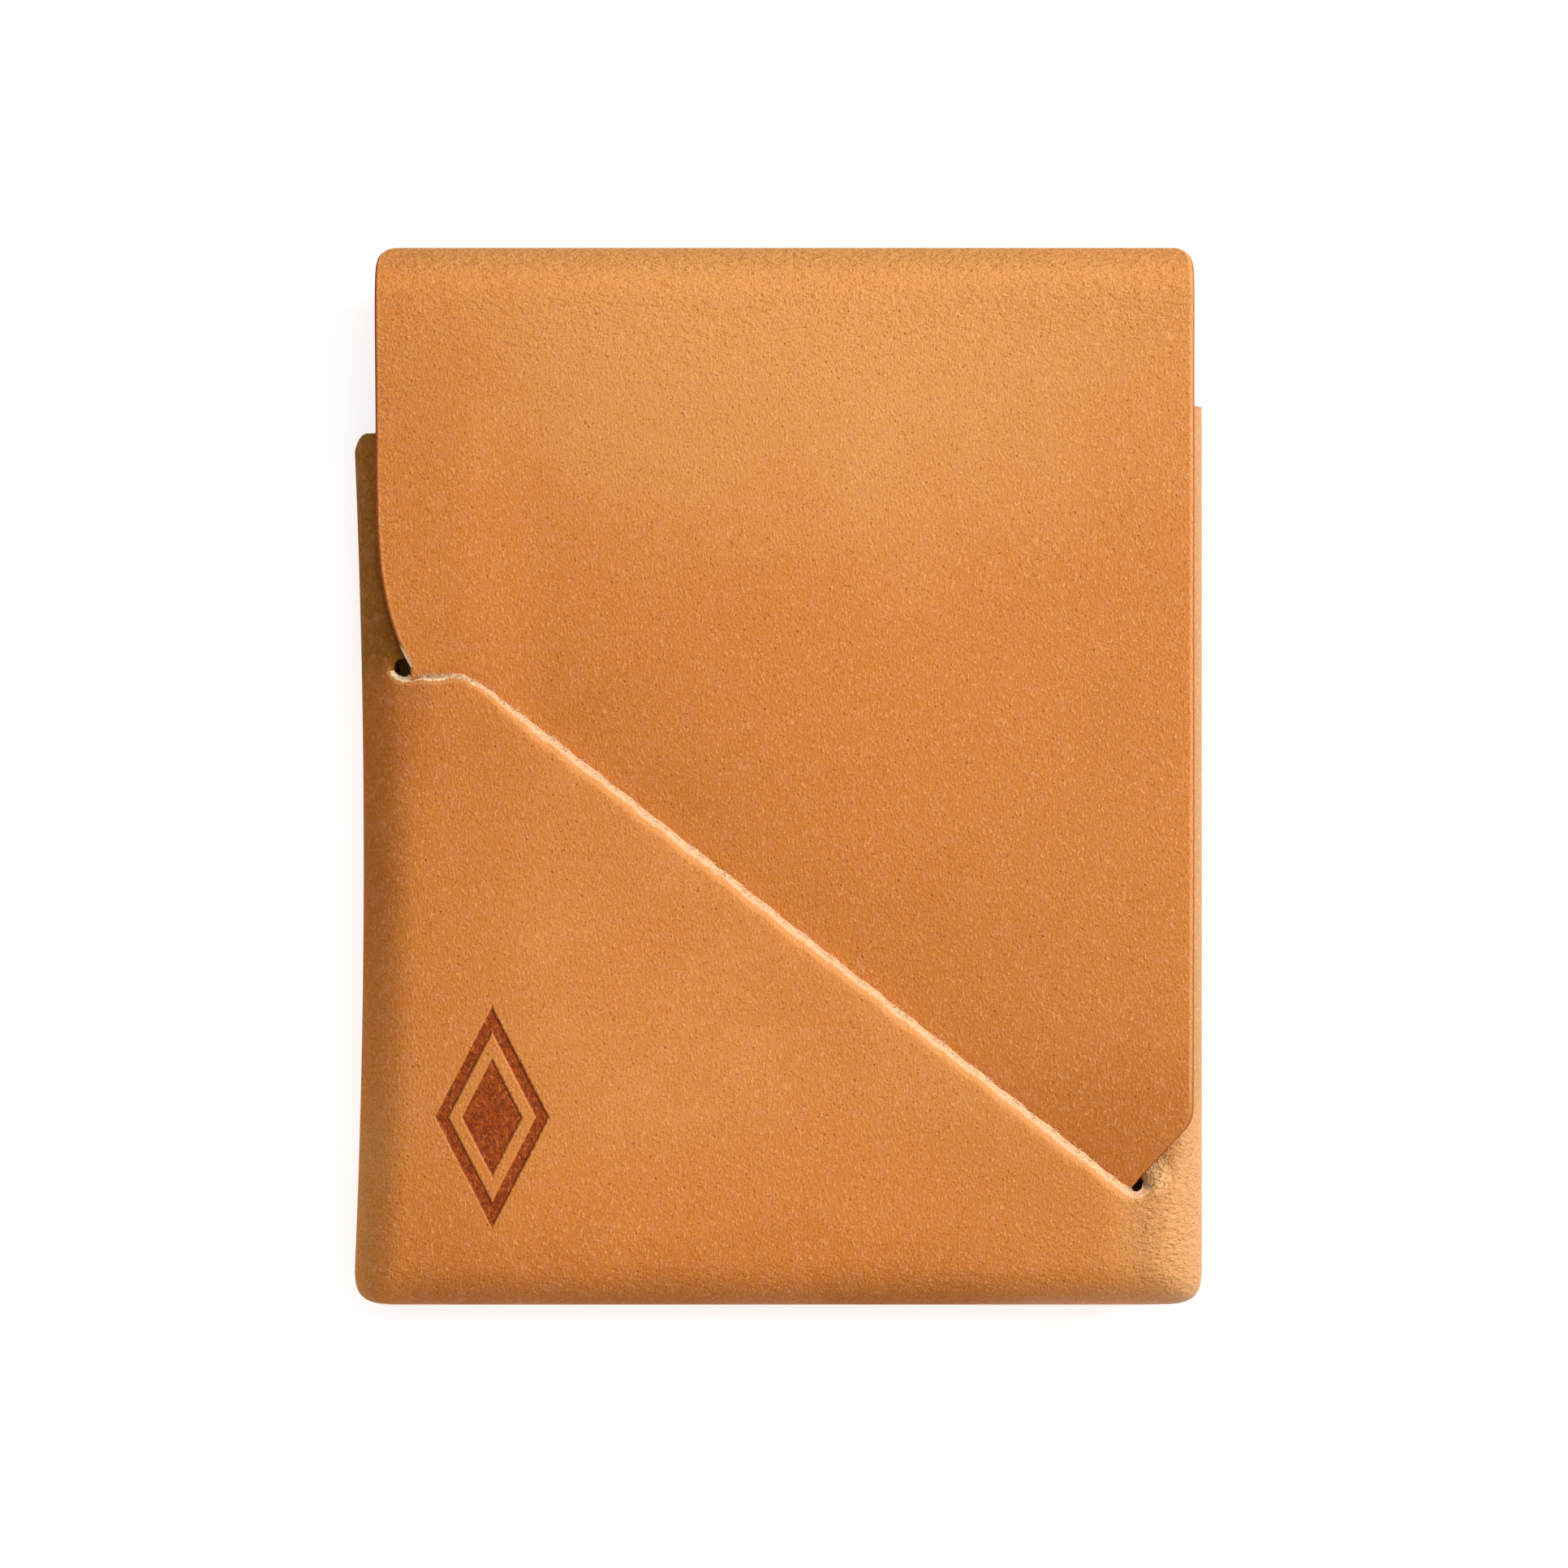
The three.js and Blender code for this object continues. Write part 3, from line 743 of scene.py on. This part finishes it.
# %% Fibres
def fibre_tubes(roots, headings, lengths, rises, radius):
    """Three-sided tubes of three rings and a tip. A fibre leaves its root along its heading, curls
    to one side by a quarter of its length and rises by its own height."""
    steps = np.array([0, 0.35, 0.7, 1.0])
    ahead = np.stack([np.cos(headings), np.sin(headings), 0 * headings], axis=1)
    aside = np.stack([-ahead[:, 1], ahead[:, 0], 0 * headings], axis=1)
    up = np.array([0.0, 0.0, 1.0])
    curl = np.where(np.arange(len(roots)) % 2 == 0, 0.25, -0.25)
    line = (roots[:, None] + ahead[:, None] * (lengths[:, None] * steps)[..., None]
            + aside[:, None] * ((curl * lengths)[:, None] * steps**2)[..., None]
            + up * (rises[:, None] * np.sin(steps * 2.2))[..., None])
    turn = np.arange(3) * 2 * math.pi / 3
    ring = aside[:, None] * np.cos(turn)[:, None] + up * np.sin(turn)[:, None]
    thin = radius * (1 - 0.3 * np.arange(3))
    rings = line[:, :3, None] + ring[:, None] * thin[:, None, None]
    points = np.concatenate([rings.reshape(len(roots), 9, 3), line[:, 3:4]], axis=1)
    wall = [(3 * r + k, 3 * r + (k + 1) % 3, 3 * r + 3 + (k + 1) % 3, 3 * r + 3 + k)
            for r in range(2) for k in range(3)]
    tips = [(6 + k, 6 + (k + 1) % 3, 9, 9) for k in range(3)]
    shape = np.array(wall + tips)
    faces = (np.arange(len(roots)) * 10)[:, None, None] + shape
    return points.reshape(-1, 3), faces.reshape(-1, 4)


TUFTS, IN_A_TUFT = 110, 5
SINGLE, SINGLE_LEFT = 420, 150  # fibres on their own, and more of them left of the slit's knee
FIBRE_R = 0.036
dice = np.random.default_rng(11)
tuft_at = np.repeat(dice.uniform(SLIT_LEFT_X, SLIT_END[0] - 0.6, TUFTS), IN_A_TUFT)
root_x = np.clip(tuft_at + dice.normal(0, 0.16, tuft_at.size), SLIT_LEFT_X, SLIT_END[0] - 0.4)
root_x = np.concatenate([root_x, dice.uniform(SLIT_LEFT_X, SLIT_END[0] - 0.4, SINGLE),
                         dice.uniform(SLIT_LEFT_X, SLIT_KNEE[0] + 2, SINGLE_LEFT)])
back_off = dice.uniform(0.02, 0.34, root_x.size)
root_y = slit_y(root_x) - (LIP + ragged(root_x) + back_off) * slit_lean(root_x)
root_z = FRONT_TOP + front_relief(root_x, root_y, True)[0] + waves(root_x, root_y)
slit_angle = np.arctan((slit_y(root_x + 0.05) - slit_y(root_x - 0.05)) / 0.1)
headings = slit_angle + dice.uniform(0.15, 2.9, root_x.size)
lengths = dice.uniform(0.16, 0.46, root_x.size)
rises = dice.uniform(0.03, 0.22, root_x.size) + 0.12 * smooth(-root_x, 26, 30)
fibre_points, fibre_faces = fibre_tubes(
    np.stack([root_x, root_y, root_z], axis=1), headings, lengths, rises, FIBRE_R)
fibres = sheet_object("slit_fibres", fibre_points, fibre_faces)
print(root_x.size, "fibres")

# %% [markdown]
# ## Leather
# Vegetable tanning colours the leather itself, so its colour is soft and cloudy, with a fine grain
# that catches the light as specks. A picture of leather wrapped round the mesh would show its repeats and
# stretch in the folds. Each finish below is built from noise on the object's own coordinates, so the
# grain keeps its real scale: specks of about a quarter of a millimetre.


# %% Node helpers
def node(tree, kind, inputs=None, **settings):
    """Adds a node, sets its fields, and sets or links its inputs by name or number."""
    made = tree.nodes.new(kind)
    for key, value in settings.items():
        setattr(made, key, value)
    for key, value in (inputs or {}).items():
        if isinstance(value, bpy.types.NodeSocket):
            tree.links.new(value, made.inputs[key])
        else:
            made.inputs[key].default_value = value
    return made


def maths(operation, *values, clamp=False):
    """A Math node's result, in the tree that its linked values are in."""
    tree = next(value.id_data for value in values if isinstance(value, bpy.types.NodeSocket))
    made = node(tree, "ShaderNodeMath", dict(enumerate(values)), operation=operation, use_clamp=clamp)
    return made.outputs[0]


def product(first, second, clamp=False):
    """Two values multiplied."""
    return maths("MULTIPLY", first, second, clamp=clamp)


def total(first, second):
    """Two values added."""
    return maths("ADD", first, second)


def less(first, second):
    """The second value taken from the first."""
    return maths("SUBTRACT", first, second)


def larger(first, *others):
    """The largest of several values."""
    for other in others:
        first = maths("MAXIMUM", first, other)
    return first


def ramp(value, low, high, from_value=0.0, to_value=1.0):
    """Maps low..high smoothly to from_value..to_value."""
    fields = {0: value, 1: low, 2: high, 3: from_value, 4: to_value}
    return node(value.id_data, "ShaderNodeMapRange", fields, interpolation_type="SMOOTHSTEP").outputs[0]


def mixed(factor, first, second):
    """A colour mix: first where the factor is 0, second where it is 1."""
    fields = {0: factor, 6: first, 7: second}
    return node(factor.id_data, "ShaderNodeMix", fields, data_type="RGBA").outputs[2]


def noise(coordinates, size_mm, detail=3.0, roughness=0.55, distortion=0.0):
    """Noise whose lumps are about size_mm across."""
    fields = {"Vector": coordinates, "Scale": 1 / (size_mm * MM), "Detail": detail,
              "Roughness": roughness, "Distortion": distortion}
    return node(coordinates.id_data, "ShaderNodeTexNoise", fields).outputs["Fac"]


def stretched_place(coordinates, scale, turn=0.0):
    """The coordinates scaled along each axis and turned in the plan, to draw noise out one way."""
    fields = {"Vector": coordinates, "Rotation": (0, 0, turn), "Scale": scale}
    return node(coordinates.id_data, "ShaderNodeMapping", fields, vector_type="POINT").outputs[0]


def kept_number(tree, name):
    """A number that was kept at each point of the mesh."""
    return node(tree, "ShaderNodeAttribute", attribute_name=name).outputs["Fac"]


def place_mm(tree):
    """Object coordinates in metres, and their x, y and z in millimetres."""
    coordinates = node(tree, "ShaderNodeTexCoord").outputs["Object"]
    split = node(tree, "ShaderNodeSeparateXYZ", {0: coordinates})
    return coordinates, [product(split.outputs[axis], 1 / MM) for axis in range(3)]


def srgb(red, green, blue):
    """A colour written as screen values from 0 to 255, made linear."""
    c = np.array([red, green, blue]) / 255
    linear = np.where(c <= 0.04045, c / 12.92, ((c + 0.055) / 1.055) ** 2.4)
    return (*linear.tolist(), 1.0)


def new_material(name, roughness, specular):
    """An empty Principled material with its uniform values set on the shader."""
    made = bpy.data.materials.new(name)
    made.use_nodes = True
    shader = made.node_tree.nodes["Principled BSDF"]
    shader.inputs["Roughness"].default_value = roughness
    shader.inputs["Specular IOR Level"].default_value = specular
    return made, made.node_tree, shader


def lay_on(shader, colour, height, strength, distance):
    """Links a colour to the shader, and a bump made from a height."""
    tree = shader.id_data
    bump = node(tree, "ShaderNodeBump", {"Strength": strength, "Distance": distance, "Height": height})
    tree.links.new(colour, shader.inputs["Base Color"])
    tree.links.new(bump.outputs[0], shader.inputs["Normal"])


# %% [markdown]
# ### The tan
# The tone kept at each point, mostly painted light and shade, picks one of four tans, so the darker tans
# are painted shade. One tan made lighter and darker would look like light and shadow on plastic, because
# the leather's hue changes as it darkens: first it is more orange, and then more olive. Pink and yellow
# clouds a millimetre across go over it.

# %% Tan colours
TAN_PALE = srgb(204, 138, 73)
TAN_DEEP = srgb(197, 118, 51)
# the two darker tans are painted shade: the leather's colour where it turns away from the lamp
TAN_DARK_SHADE = srgb(180, 102, 37)
TAN_BROWN_SHADE = srgb(136, 84, 18)
TAN_PINK = srgb(205, 131, 90)
TAN_YELLOW = srgb(198, 126, 48)
# the olive tan is painted shade over the crown of the fold; the grey strip tan is a painted sheen on the
# right side, which faces the lamp
TAN_OLIVE_SHADE = srgb(156, 110, 60)
TAN_STRIP_SHEEN = srgb(164, 124, 82)


def cloudy_tone(coordinates):
    """The kept tone with its painted shade, moved up or down by clouds 9 mm across."""
    clouds = noise(coordinates, 9.0, 4.0, 0.6)
    return total(kept_number(coordinates.id_data, "tone_and_shade"), product(less(clouds, 0.5), 0.35))


def tan_colour(coordinates, tone_and_shade):
    """Honey to brown by tone and its painted shade, with faint pink and yellow clouds."""
    mottle = noise(coordinates, 1.3, 4.0, 0.62)
    colour = TAN_PALE
    for low, high, deeper in ((0.0, 0.4, TAN_DEEP), (0.4, 0.75, TAN_DARK_SHADE), (0.75, 1.05, TAN_BROWN_SHADE)):
        colour = mixed(ramp(tone_and_shade, low, high), colour, deeper)
    colour = mixed(ramp(mottle, 0.46, 0.66, 0.0, 0.28), colour, TAN_PINK)
    return mixed(ramp(mottle, 0.48, 0.30, 0.0, 0.35), colour, TAN_YELLOW)


def edges_colour(colour, x, y, side_share):
    """Paler and greyer where the pouch turns its right side, by side_share: a painted sheen where the
    side faces the lamp. More olive towards the right, and painted shade in olive over the crown of the
    fold."""
    # painted sheen on the right side, which faces the lamp
    colour = mixed(ramp(x, 35.6, 39.2, 0.0, side_share), colour, TAN_STRIP_SHEEN)
    # painted shade in olive over the crown of the fold
    olive = larger(ramp(x, 5.0, 32.0, 0.0, 0.16), ramp(y, 45.8, 49.8, 0.0, 0.52))
    return mixed(olive, colour, TAN_OLIVE_SHADE)


# %% [markdown]
# ### Grain and pores
# The grain side is covered with tiny cells, and the light picks some of them out as short slanting
# strokes. They could be bump alone, but at this size they are also painted into the colour as glints,
# painted highlights driven by the same noise as the bump. Cell noise (Voronoi) puts one hair pore in each
# cell.

# %% Fine grain
TAN_HIGHLIGHT = srgb(222, 160, 98)
# the pore colour is also painted shade in the cracks between wrinkles
TAN_PORE_AND_CREASE_SHADE = srgb(158, 84, 32)


def fine_grain(coordinates, colour, tone_and_shade):
    """Short painted glints of light, fewer where the tone is dark, then dark specks and pores. Returns
    the colour, the height, the noise of the glints, and the glints."""
    slanted = stretched_place(coordinates, (1, 0.5, 0.8), turn=0.7)
    fine = noise(slanted, 0.22, 2.0, 0.5)
    specks = noise(coordinates, 0.24, 1.0, 0.5)
    # painted glints: light strokes mixed into the colour
    glint_strokes = product(ramp(fine, 0.55, 0.70, 0.0, 0.5), ramp(tone_and_shade, 0.5, 1.0, 1.0, 0.3))
    colour = mixed(glint_strokes, colour, TAN_HIGHLIGHT)
    colour = mixed(ramp(specks, 0.42, 0.28, 0.0, 0.5), colour, TAN_PORE_AND_CREASE_SHADE)
    cells = node(coordinates.id_data, "ShaderNodeTexVoronoi",
                 {"Vector": coordinates, "Scale": 1 / (1.3 * MM)}, feature="F1")
    pore = ramp(cells.outputs["Distance"], 0.05, 0.13, 1.0, 0.0)
    colour = mixed(product(pore, 0.5), colour, TAN_PORE_AND_CREASE_SHADE)
    height = total(product(fine, 1.3), product(specks, 1.1))
    return colour, less(height, product(pore, 0.8)), fine, glint_strokes


# %% [markdown]
# ### Stretched and wrinkled leather
# Where the leather is pulled over the slit's end it turns paler, because its fibres open, and its grain
# cracks into short wrinkles that lie across. Near the crown of the fold it is packed into finer ones.
# They are too small to model, so they are flattened noise, weighted by place, with painted shade in the
# cracks and a painted highlight on the pebbles between them. The slope beside the right hole gets painted
# light.

# %% The stretched corner and the wrinkles
TAN_STRETCHED = srgb(199, 144, 90)
# the torn tan is partly pale torn leather round the hole and partly painted light on the slope beside it,
# which faces away from the lamp
TAN_TORN_AND_LIT = srgb(255, 206, 142)
CORNER = (38.8, -41.0)  # the middle of the stretched leather
BESIDE_HOLE = (35.0, -37.4)  # the slope beside the right hole, where it is palest
CORNER_PALE, CORNER_WRINKLE = 0.75, 0.85


def away_squared(x, y, middle, y_share=1.0):
    """Squared distance from a point in the plan, with its y part multiplied by y_share."""
    away_x, away_y = less(x, middle[0]), less(y, middle[1])
    y_part = product(product(away_y, away_y), y_share)
    return total(product(away_x, away_x), y_part)


def stretched_corner(colour, x, y):
    """Paler leather in the corner, a painted sheen where the corner turns the right side, and painted
    light over pale torn leather on the slope beside the hole. Returns the colour, and how wrinkled the
    corner is."""
    near_corner = ramp(away_squared(x, y, CORNER, 0.45), 2.0, 66.0, 1.0, 0.0)
    colour = mixed(product(near_corner, CORNER_PALE), colour, TAN_STRETCHED)
    # painted sheen where the corner turns the right side, which faces the lamp
    turned = product(near_corner, ramp(x, 36.0, 39.5, 0.0, 0.42 * CORNER_PALE))
    colour = mixed(turned, colour, TAN_STRIP_SHEEN)
    # painted light on the slope beside the hole, over pale torn leather
    beside = ramp(away_squared(x, y, BESIDE_HOLE), 0.2, 5.0, CORNER_PALE, 0.0)
    return mixed(beside, colour, TAN_TORN_AND_LIT), product(near_corner, CORNER_WRINKLE)


def wrinkles(coordinates, colour, x, y, *corner):
    """Flat pebbles with a painted highlight and the cracks between them with painted shade, strongest
    over the crown and, if its weight is given, in the stretched corner. Returns the colour and the
    height."""
    flattened = stretched_place(coordinates, (0.7, 1.5, 1.0))
    below_crown = ramp(y, 34.0, 46.0, 0.0, 0.42)
    weight = larger(
        below_crown, *corner,
        ramp(y, 45.5, 48.5, 0.0, 0.8),  # over the crown
        ramp(y, -38.0, -50.0, 0.0, 0.3),  # towards the bottom fold
        ramp(x, -34.0, -39.0, 0.0, 0.5),  # and round the left side
    )
    cracked = maths("SUBTRACT", weight, product(below_crown, 0.7), clamp=True)
    crease_shade = product(ramp(noise(flattened, 0.45, 1.0, 0.5, 0.5), 0.41, 0.34), cracked)
    # painted shade in the cracks
    colour = mixed(product(crease_shade, 0.42), colour, TAN_PORE_AND_CREASE_SHADE)
    pebble = product(ramp(noise(flattened, 0.62, 2.0, 0.5, 0.6), 0.32, 0.66), weight)
    # painted highlight on the pebbles' tops
    colour = mixed(product(pebble, 0.15), colour, TAN_HIGHLIGHT)
    return colour, less(product(pebble, 2.4), product(crease_shade, 0.9))


# %% [markdown]
# ### Edges
# The flap's cut edges are rounded over: a thin dark line, with a painted highlight, a thin light line,
# just inside it.
# The slit's edge is left raw, so its lip shows the pale fibres of the leather's inside. Both could
# be separate strips, but distances kept at each point draw them on the sheet itself, and a little
# noise added to the distance frays the border.

# %% Edge lines and raw edges
EDGE_RED = srgb(160, 48, 14)
EDGE_BROWN = srgb(122, 66, 26)
# the lip's orange is a painted highlight and the level raw colour is painted light; the other raw colours
# are the fibres' own
LIP_HIGHLIGHT = srgb(206, 142, 82)
RAW_DARK = srgb(190, 138, 92)
RAW_LIGHT = srgb(226, 190, 152)
RAW_PAINTED_LIGHT = srgb(242, 210, 172)


def edge_line_and_highlight(colour, x, y):
    """A dark line within 0.24 mm of the flap's edge, redder at the left, and a painted highlight line
    inside it, which fades out at the flap's lower corner."""
    rim = kept_number(colour.id_data, "rim")
    # painted highlight just inside the flap's edge
    painted_highlight_line = product(ramp(rim, 0.18, 0.30), ramp(rim, 0.56, 0.40, 0.0, 0.45))
    colour = mixed(product(painted_highlight_line, ramp(y, -33.0, -30.0)), colour, TAN_HIGHLIGHT)
    dark_line = mixed(ramp(x, -30.0, 0.0), EDGE_RED, EDGE_BROWN)
    return mixed(ramp(rim, 0.24, 0.08, 0.0, 0.85), colour, dark_line)


def raw_edge(coordinates, colour, x):
    """Pale fibres on the slanted cut of the lip, more even and painted lighter left of the slit's knee,
    where the lip lies in shade, and a painted highlight in lighter orange on the lip's shoulder, which
    faces the lamp."""
    fray = product(less(noise(coordinates, 0.35, 3.0, 0.7), 0.5), 0.6)
    frayed = total(kept_number(colour.id_data, "cut"), fray)
    # painted highlight on the lip's shoulder, which faces the lamp
    lit_shoulder = mixed(ramp(frayed, 1.05, 1.3, 0.6, 0.0), colour, LIP_HIGHLIGHT)
    strands = ramp(noise(coordinates, 0.18, 3.0, 0.7), 0.3, 0.7)
    fibre = mixed(strands, RAW_DARK, RAW_LIGHT)
    # painted light on the raw face left of the knee, which lies in shade
    fibre = mixed(ramp(x, -27.0, -30.5), fibre, RAW_PAINTED_LIGHT)
    return mixed(ramp(frayed, 0.58, 0.72, 1.0, 0.0), lit_shoulder, fibre)


# %% [markdown]
# ### The pressed mark
# A hot brass die is pressed into the front: a lozenge inside a lozenge outline. It scorches the
# leather dark and leaves it sunk, with soft walls. Cutting it into the mesh would need a grid as fine
# as the die's corners, so it is a mask that colours the grain and lowers its height.

# %% The mark
STAMP_BROWN = srgb(112, 38, 2)
STAMP_RED = srgb(154, 64, 8)
# the light stamp colour is painted glints
STAMP_GLINT = srgb(188, 104, 48)


def stamp_masks(x, y, z, fine):
    """Sharp and soft masks of the mark: |x|/w + |y|/h is 1 on a lozenge's edge."""
    away_x = maths("ABSOLUTE", less(x, STAMP_X))
    away_y = maths("ABSOLUTE", less(y, STAMP_Y))
    reach = total(maths("DIVIDE", away_x, STAMP_W), maths("DIVIDE", away_y, STAMP_H))
    reach = total(reach, product(less(fine, 0.5), 0.03))
    on_front = maths("GREATER_THAN", z, FRONT_TOP - 1.5)

    def mask(outer, inner, middle):
        """An outline between two lozenges, and a smaller lozenge in its middle."""
        outline = product(ramp(reach, *outer, 1.0, 0.0), ramp(reach, *inner))
        return product(larger(outline, ramp(reach, *middle, 1.0, 0.0)), on_front)

    soft = mask((0.96, 1.03), (0.74, 0.80), (0.50, 0.56))
    return mask((0.99, 1.01), (0.765, 0.785), (0.515, 0.535)), soft


def pressed_mark(coordinates, colour, place, fine, glint_strokes):
    """The scorched colour inside the mark, with painted glints along the grain strokes. Returns the
    colour, and how far the mark is sunk.
    """
    sharp, soft = stamp_masks(*place, fine)
    scorched = ramp(noise(coordinates, 0.5, 4.0, 0.7), 0.38, 0.62)
    burnt = mixed(scorched, STAMP_BROWN, STAMP_RED)
    # painted glints inside the mark
    burnt = mixed(product(glint_strokes, 1.2, clamp=True), burnt, STAMP_GLINT)
    return mixed(product(sharp, 0.95), colour, burnt), product(soft, 5.0)


# %% [markdown]
# ### The grain side put together
# The colour passes through each layer in turn, and the heights add up to one bump. Handled and bent
# leather is duller, so dark places, the crown and the left side are rougher. The pouch alone has the
# painted sheen of its right side, the stretched corner with painted light beside the hole, and the mark.


# %% Grain leather
def grain_leather(name, is_pouch=False):
    """Honey tan leather: cloudy colour with painted light and shade, fine grain with painted glints,
    pores, and wrinkles where it is bent.
    """
    material, tree, shader = new_material(name, 0.5, 0.12)
    coordinates, place = place_mm(tree)
    x, y, _ = place
    tone_and_shade = cloudy_tone(coordinates)
    colour = tan_colour(coordinates, tone_and_shade)
    colour = edges_colour(colour, x, y, 0.9 if is_pouch else 0.0)
    colour, height, fine, glint_strokes = fine_grain(coordinates, colour, tone_and_shade)
    corner = []
    if is_pouch:
        colour, *corner = stretched_corner(colour, x, y)
    colour, wrinkle = wrinkles(coordinates, colour, x, y, *corner)
    height = total(height, wrinkle)
    colour = edge_line_and_highlight(colour, x, y)
    if is_pouch:
        colour, sunk = pressed_mark(coordinates, colour, place, fine, glint_strokes)
        height = less(height, sunk)
    colour = raw_edge(coordinates, colour, x)
    dull = larger(*(ramp(*limits, 0.5, 1.0) for limits in (
        (y, 46.5, 49.0), (x, -34.0, -38.0), (tone_and_shade, 0.45, 0.95))))
    tree.links.new(dull, shader.inputs["Roughness"])
    lay_on(shader, colour, height, 0.7, 0.000075)
    return material


pouch_grain = grain_leather("pouch_grain", is_pouch=True)
flap_grain = grain_leather("flap_grain")
for made in (pouch_grain, flap_grain):
    print(made.name, len(made.node_tree.nodes), "nodes")

# %% [markdown]
# ### Flesh side, cut edges and fibres
# The back of the leather is matt and napped, and its cut edges are dark and burnished. Both are short
# streaks, so one maker with two pairs of colours does for them. The loose fibres are so thin that
# no pattern shows on them, so theirs is the one plain finish.


# %% Flesh side, cut edges and fibres
def fibrous_leather(name, dark, light, size_mm, depth):
    """Matt fibres: short streaks from noise that is stretched along the sheet."""
    material, tree, shader = new_material(name, 0.9, 0.1)
    coordinates, _ = place_mm(tree)
    fibres = noise(stretched_place(coordinates, (1, 0.45, 1)), size_mm, 5.0, 0.7, 0.8)
    colour = mixed(ramp(fibres, 0.3, 0.7), dark, light)
    lay_on(shader, colour, fibres, 0.8, depth)
    return material


flesh = fibrous_leather("flesh_side", srgb(168, 112, 62), srgb(206, 158, 104), 0.5, 0.0001)
cut_edge = fibrous_leather("cut_edge", srgb(112, 54, 22), srgb(158, 88, 40), 0.3, 0.00005)
fibre_finish, _, fibre_shader = new_material("fibre", 0.9, 0.1)
fibre_shader.inputs["Base Color"].default_value = srgb(240, 206, 164)
print(len(bpy.data.materials), "materials")

# %% [markdown]
# ## Finish the sheets
# Each stretch gets its three finishes and its thickness is made real. Only the loose fibres are
# joined to the frame, to the pouch.


# %% Finish the leather and join the fibres
def dress(obj, grain):
    """Grain outside, flesh inside, and the cut edge on the rim."""
    for material in (grain, flesh, cut_edge):
        obj.data.materials.append(material)
    keep_result(obj)


dress(pouch, pouch_grain)
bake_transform(pouch)
for number, (part, bodies) in enumerate(fold_objects, start=1):
    dress(part, flap_grain)
    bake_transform(part)
dress(flap_leather, flap_grain)
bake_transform(flap_leather)

fibres.data.materials.append(fibre_finish)
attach(fibres, "pouch")

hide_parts("front_panel", "left_side_fold", "right_side_fold", "left_back_wing",
            "right_back_wing", "bottom_fold", "back_panel")
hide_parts("top_fold_back")
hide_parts("top_fold_crown", "top_fold_front")
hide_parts("flap_panel", "flap_tongue")
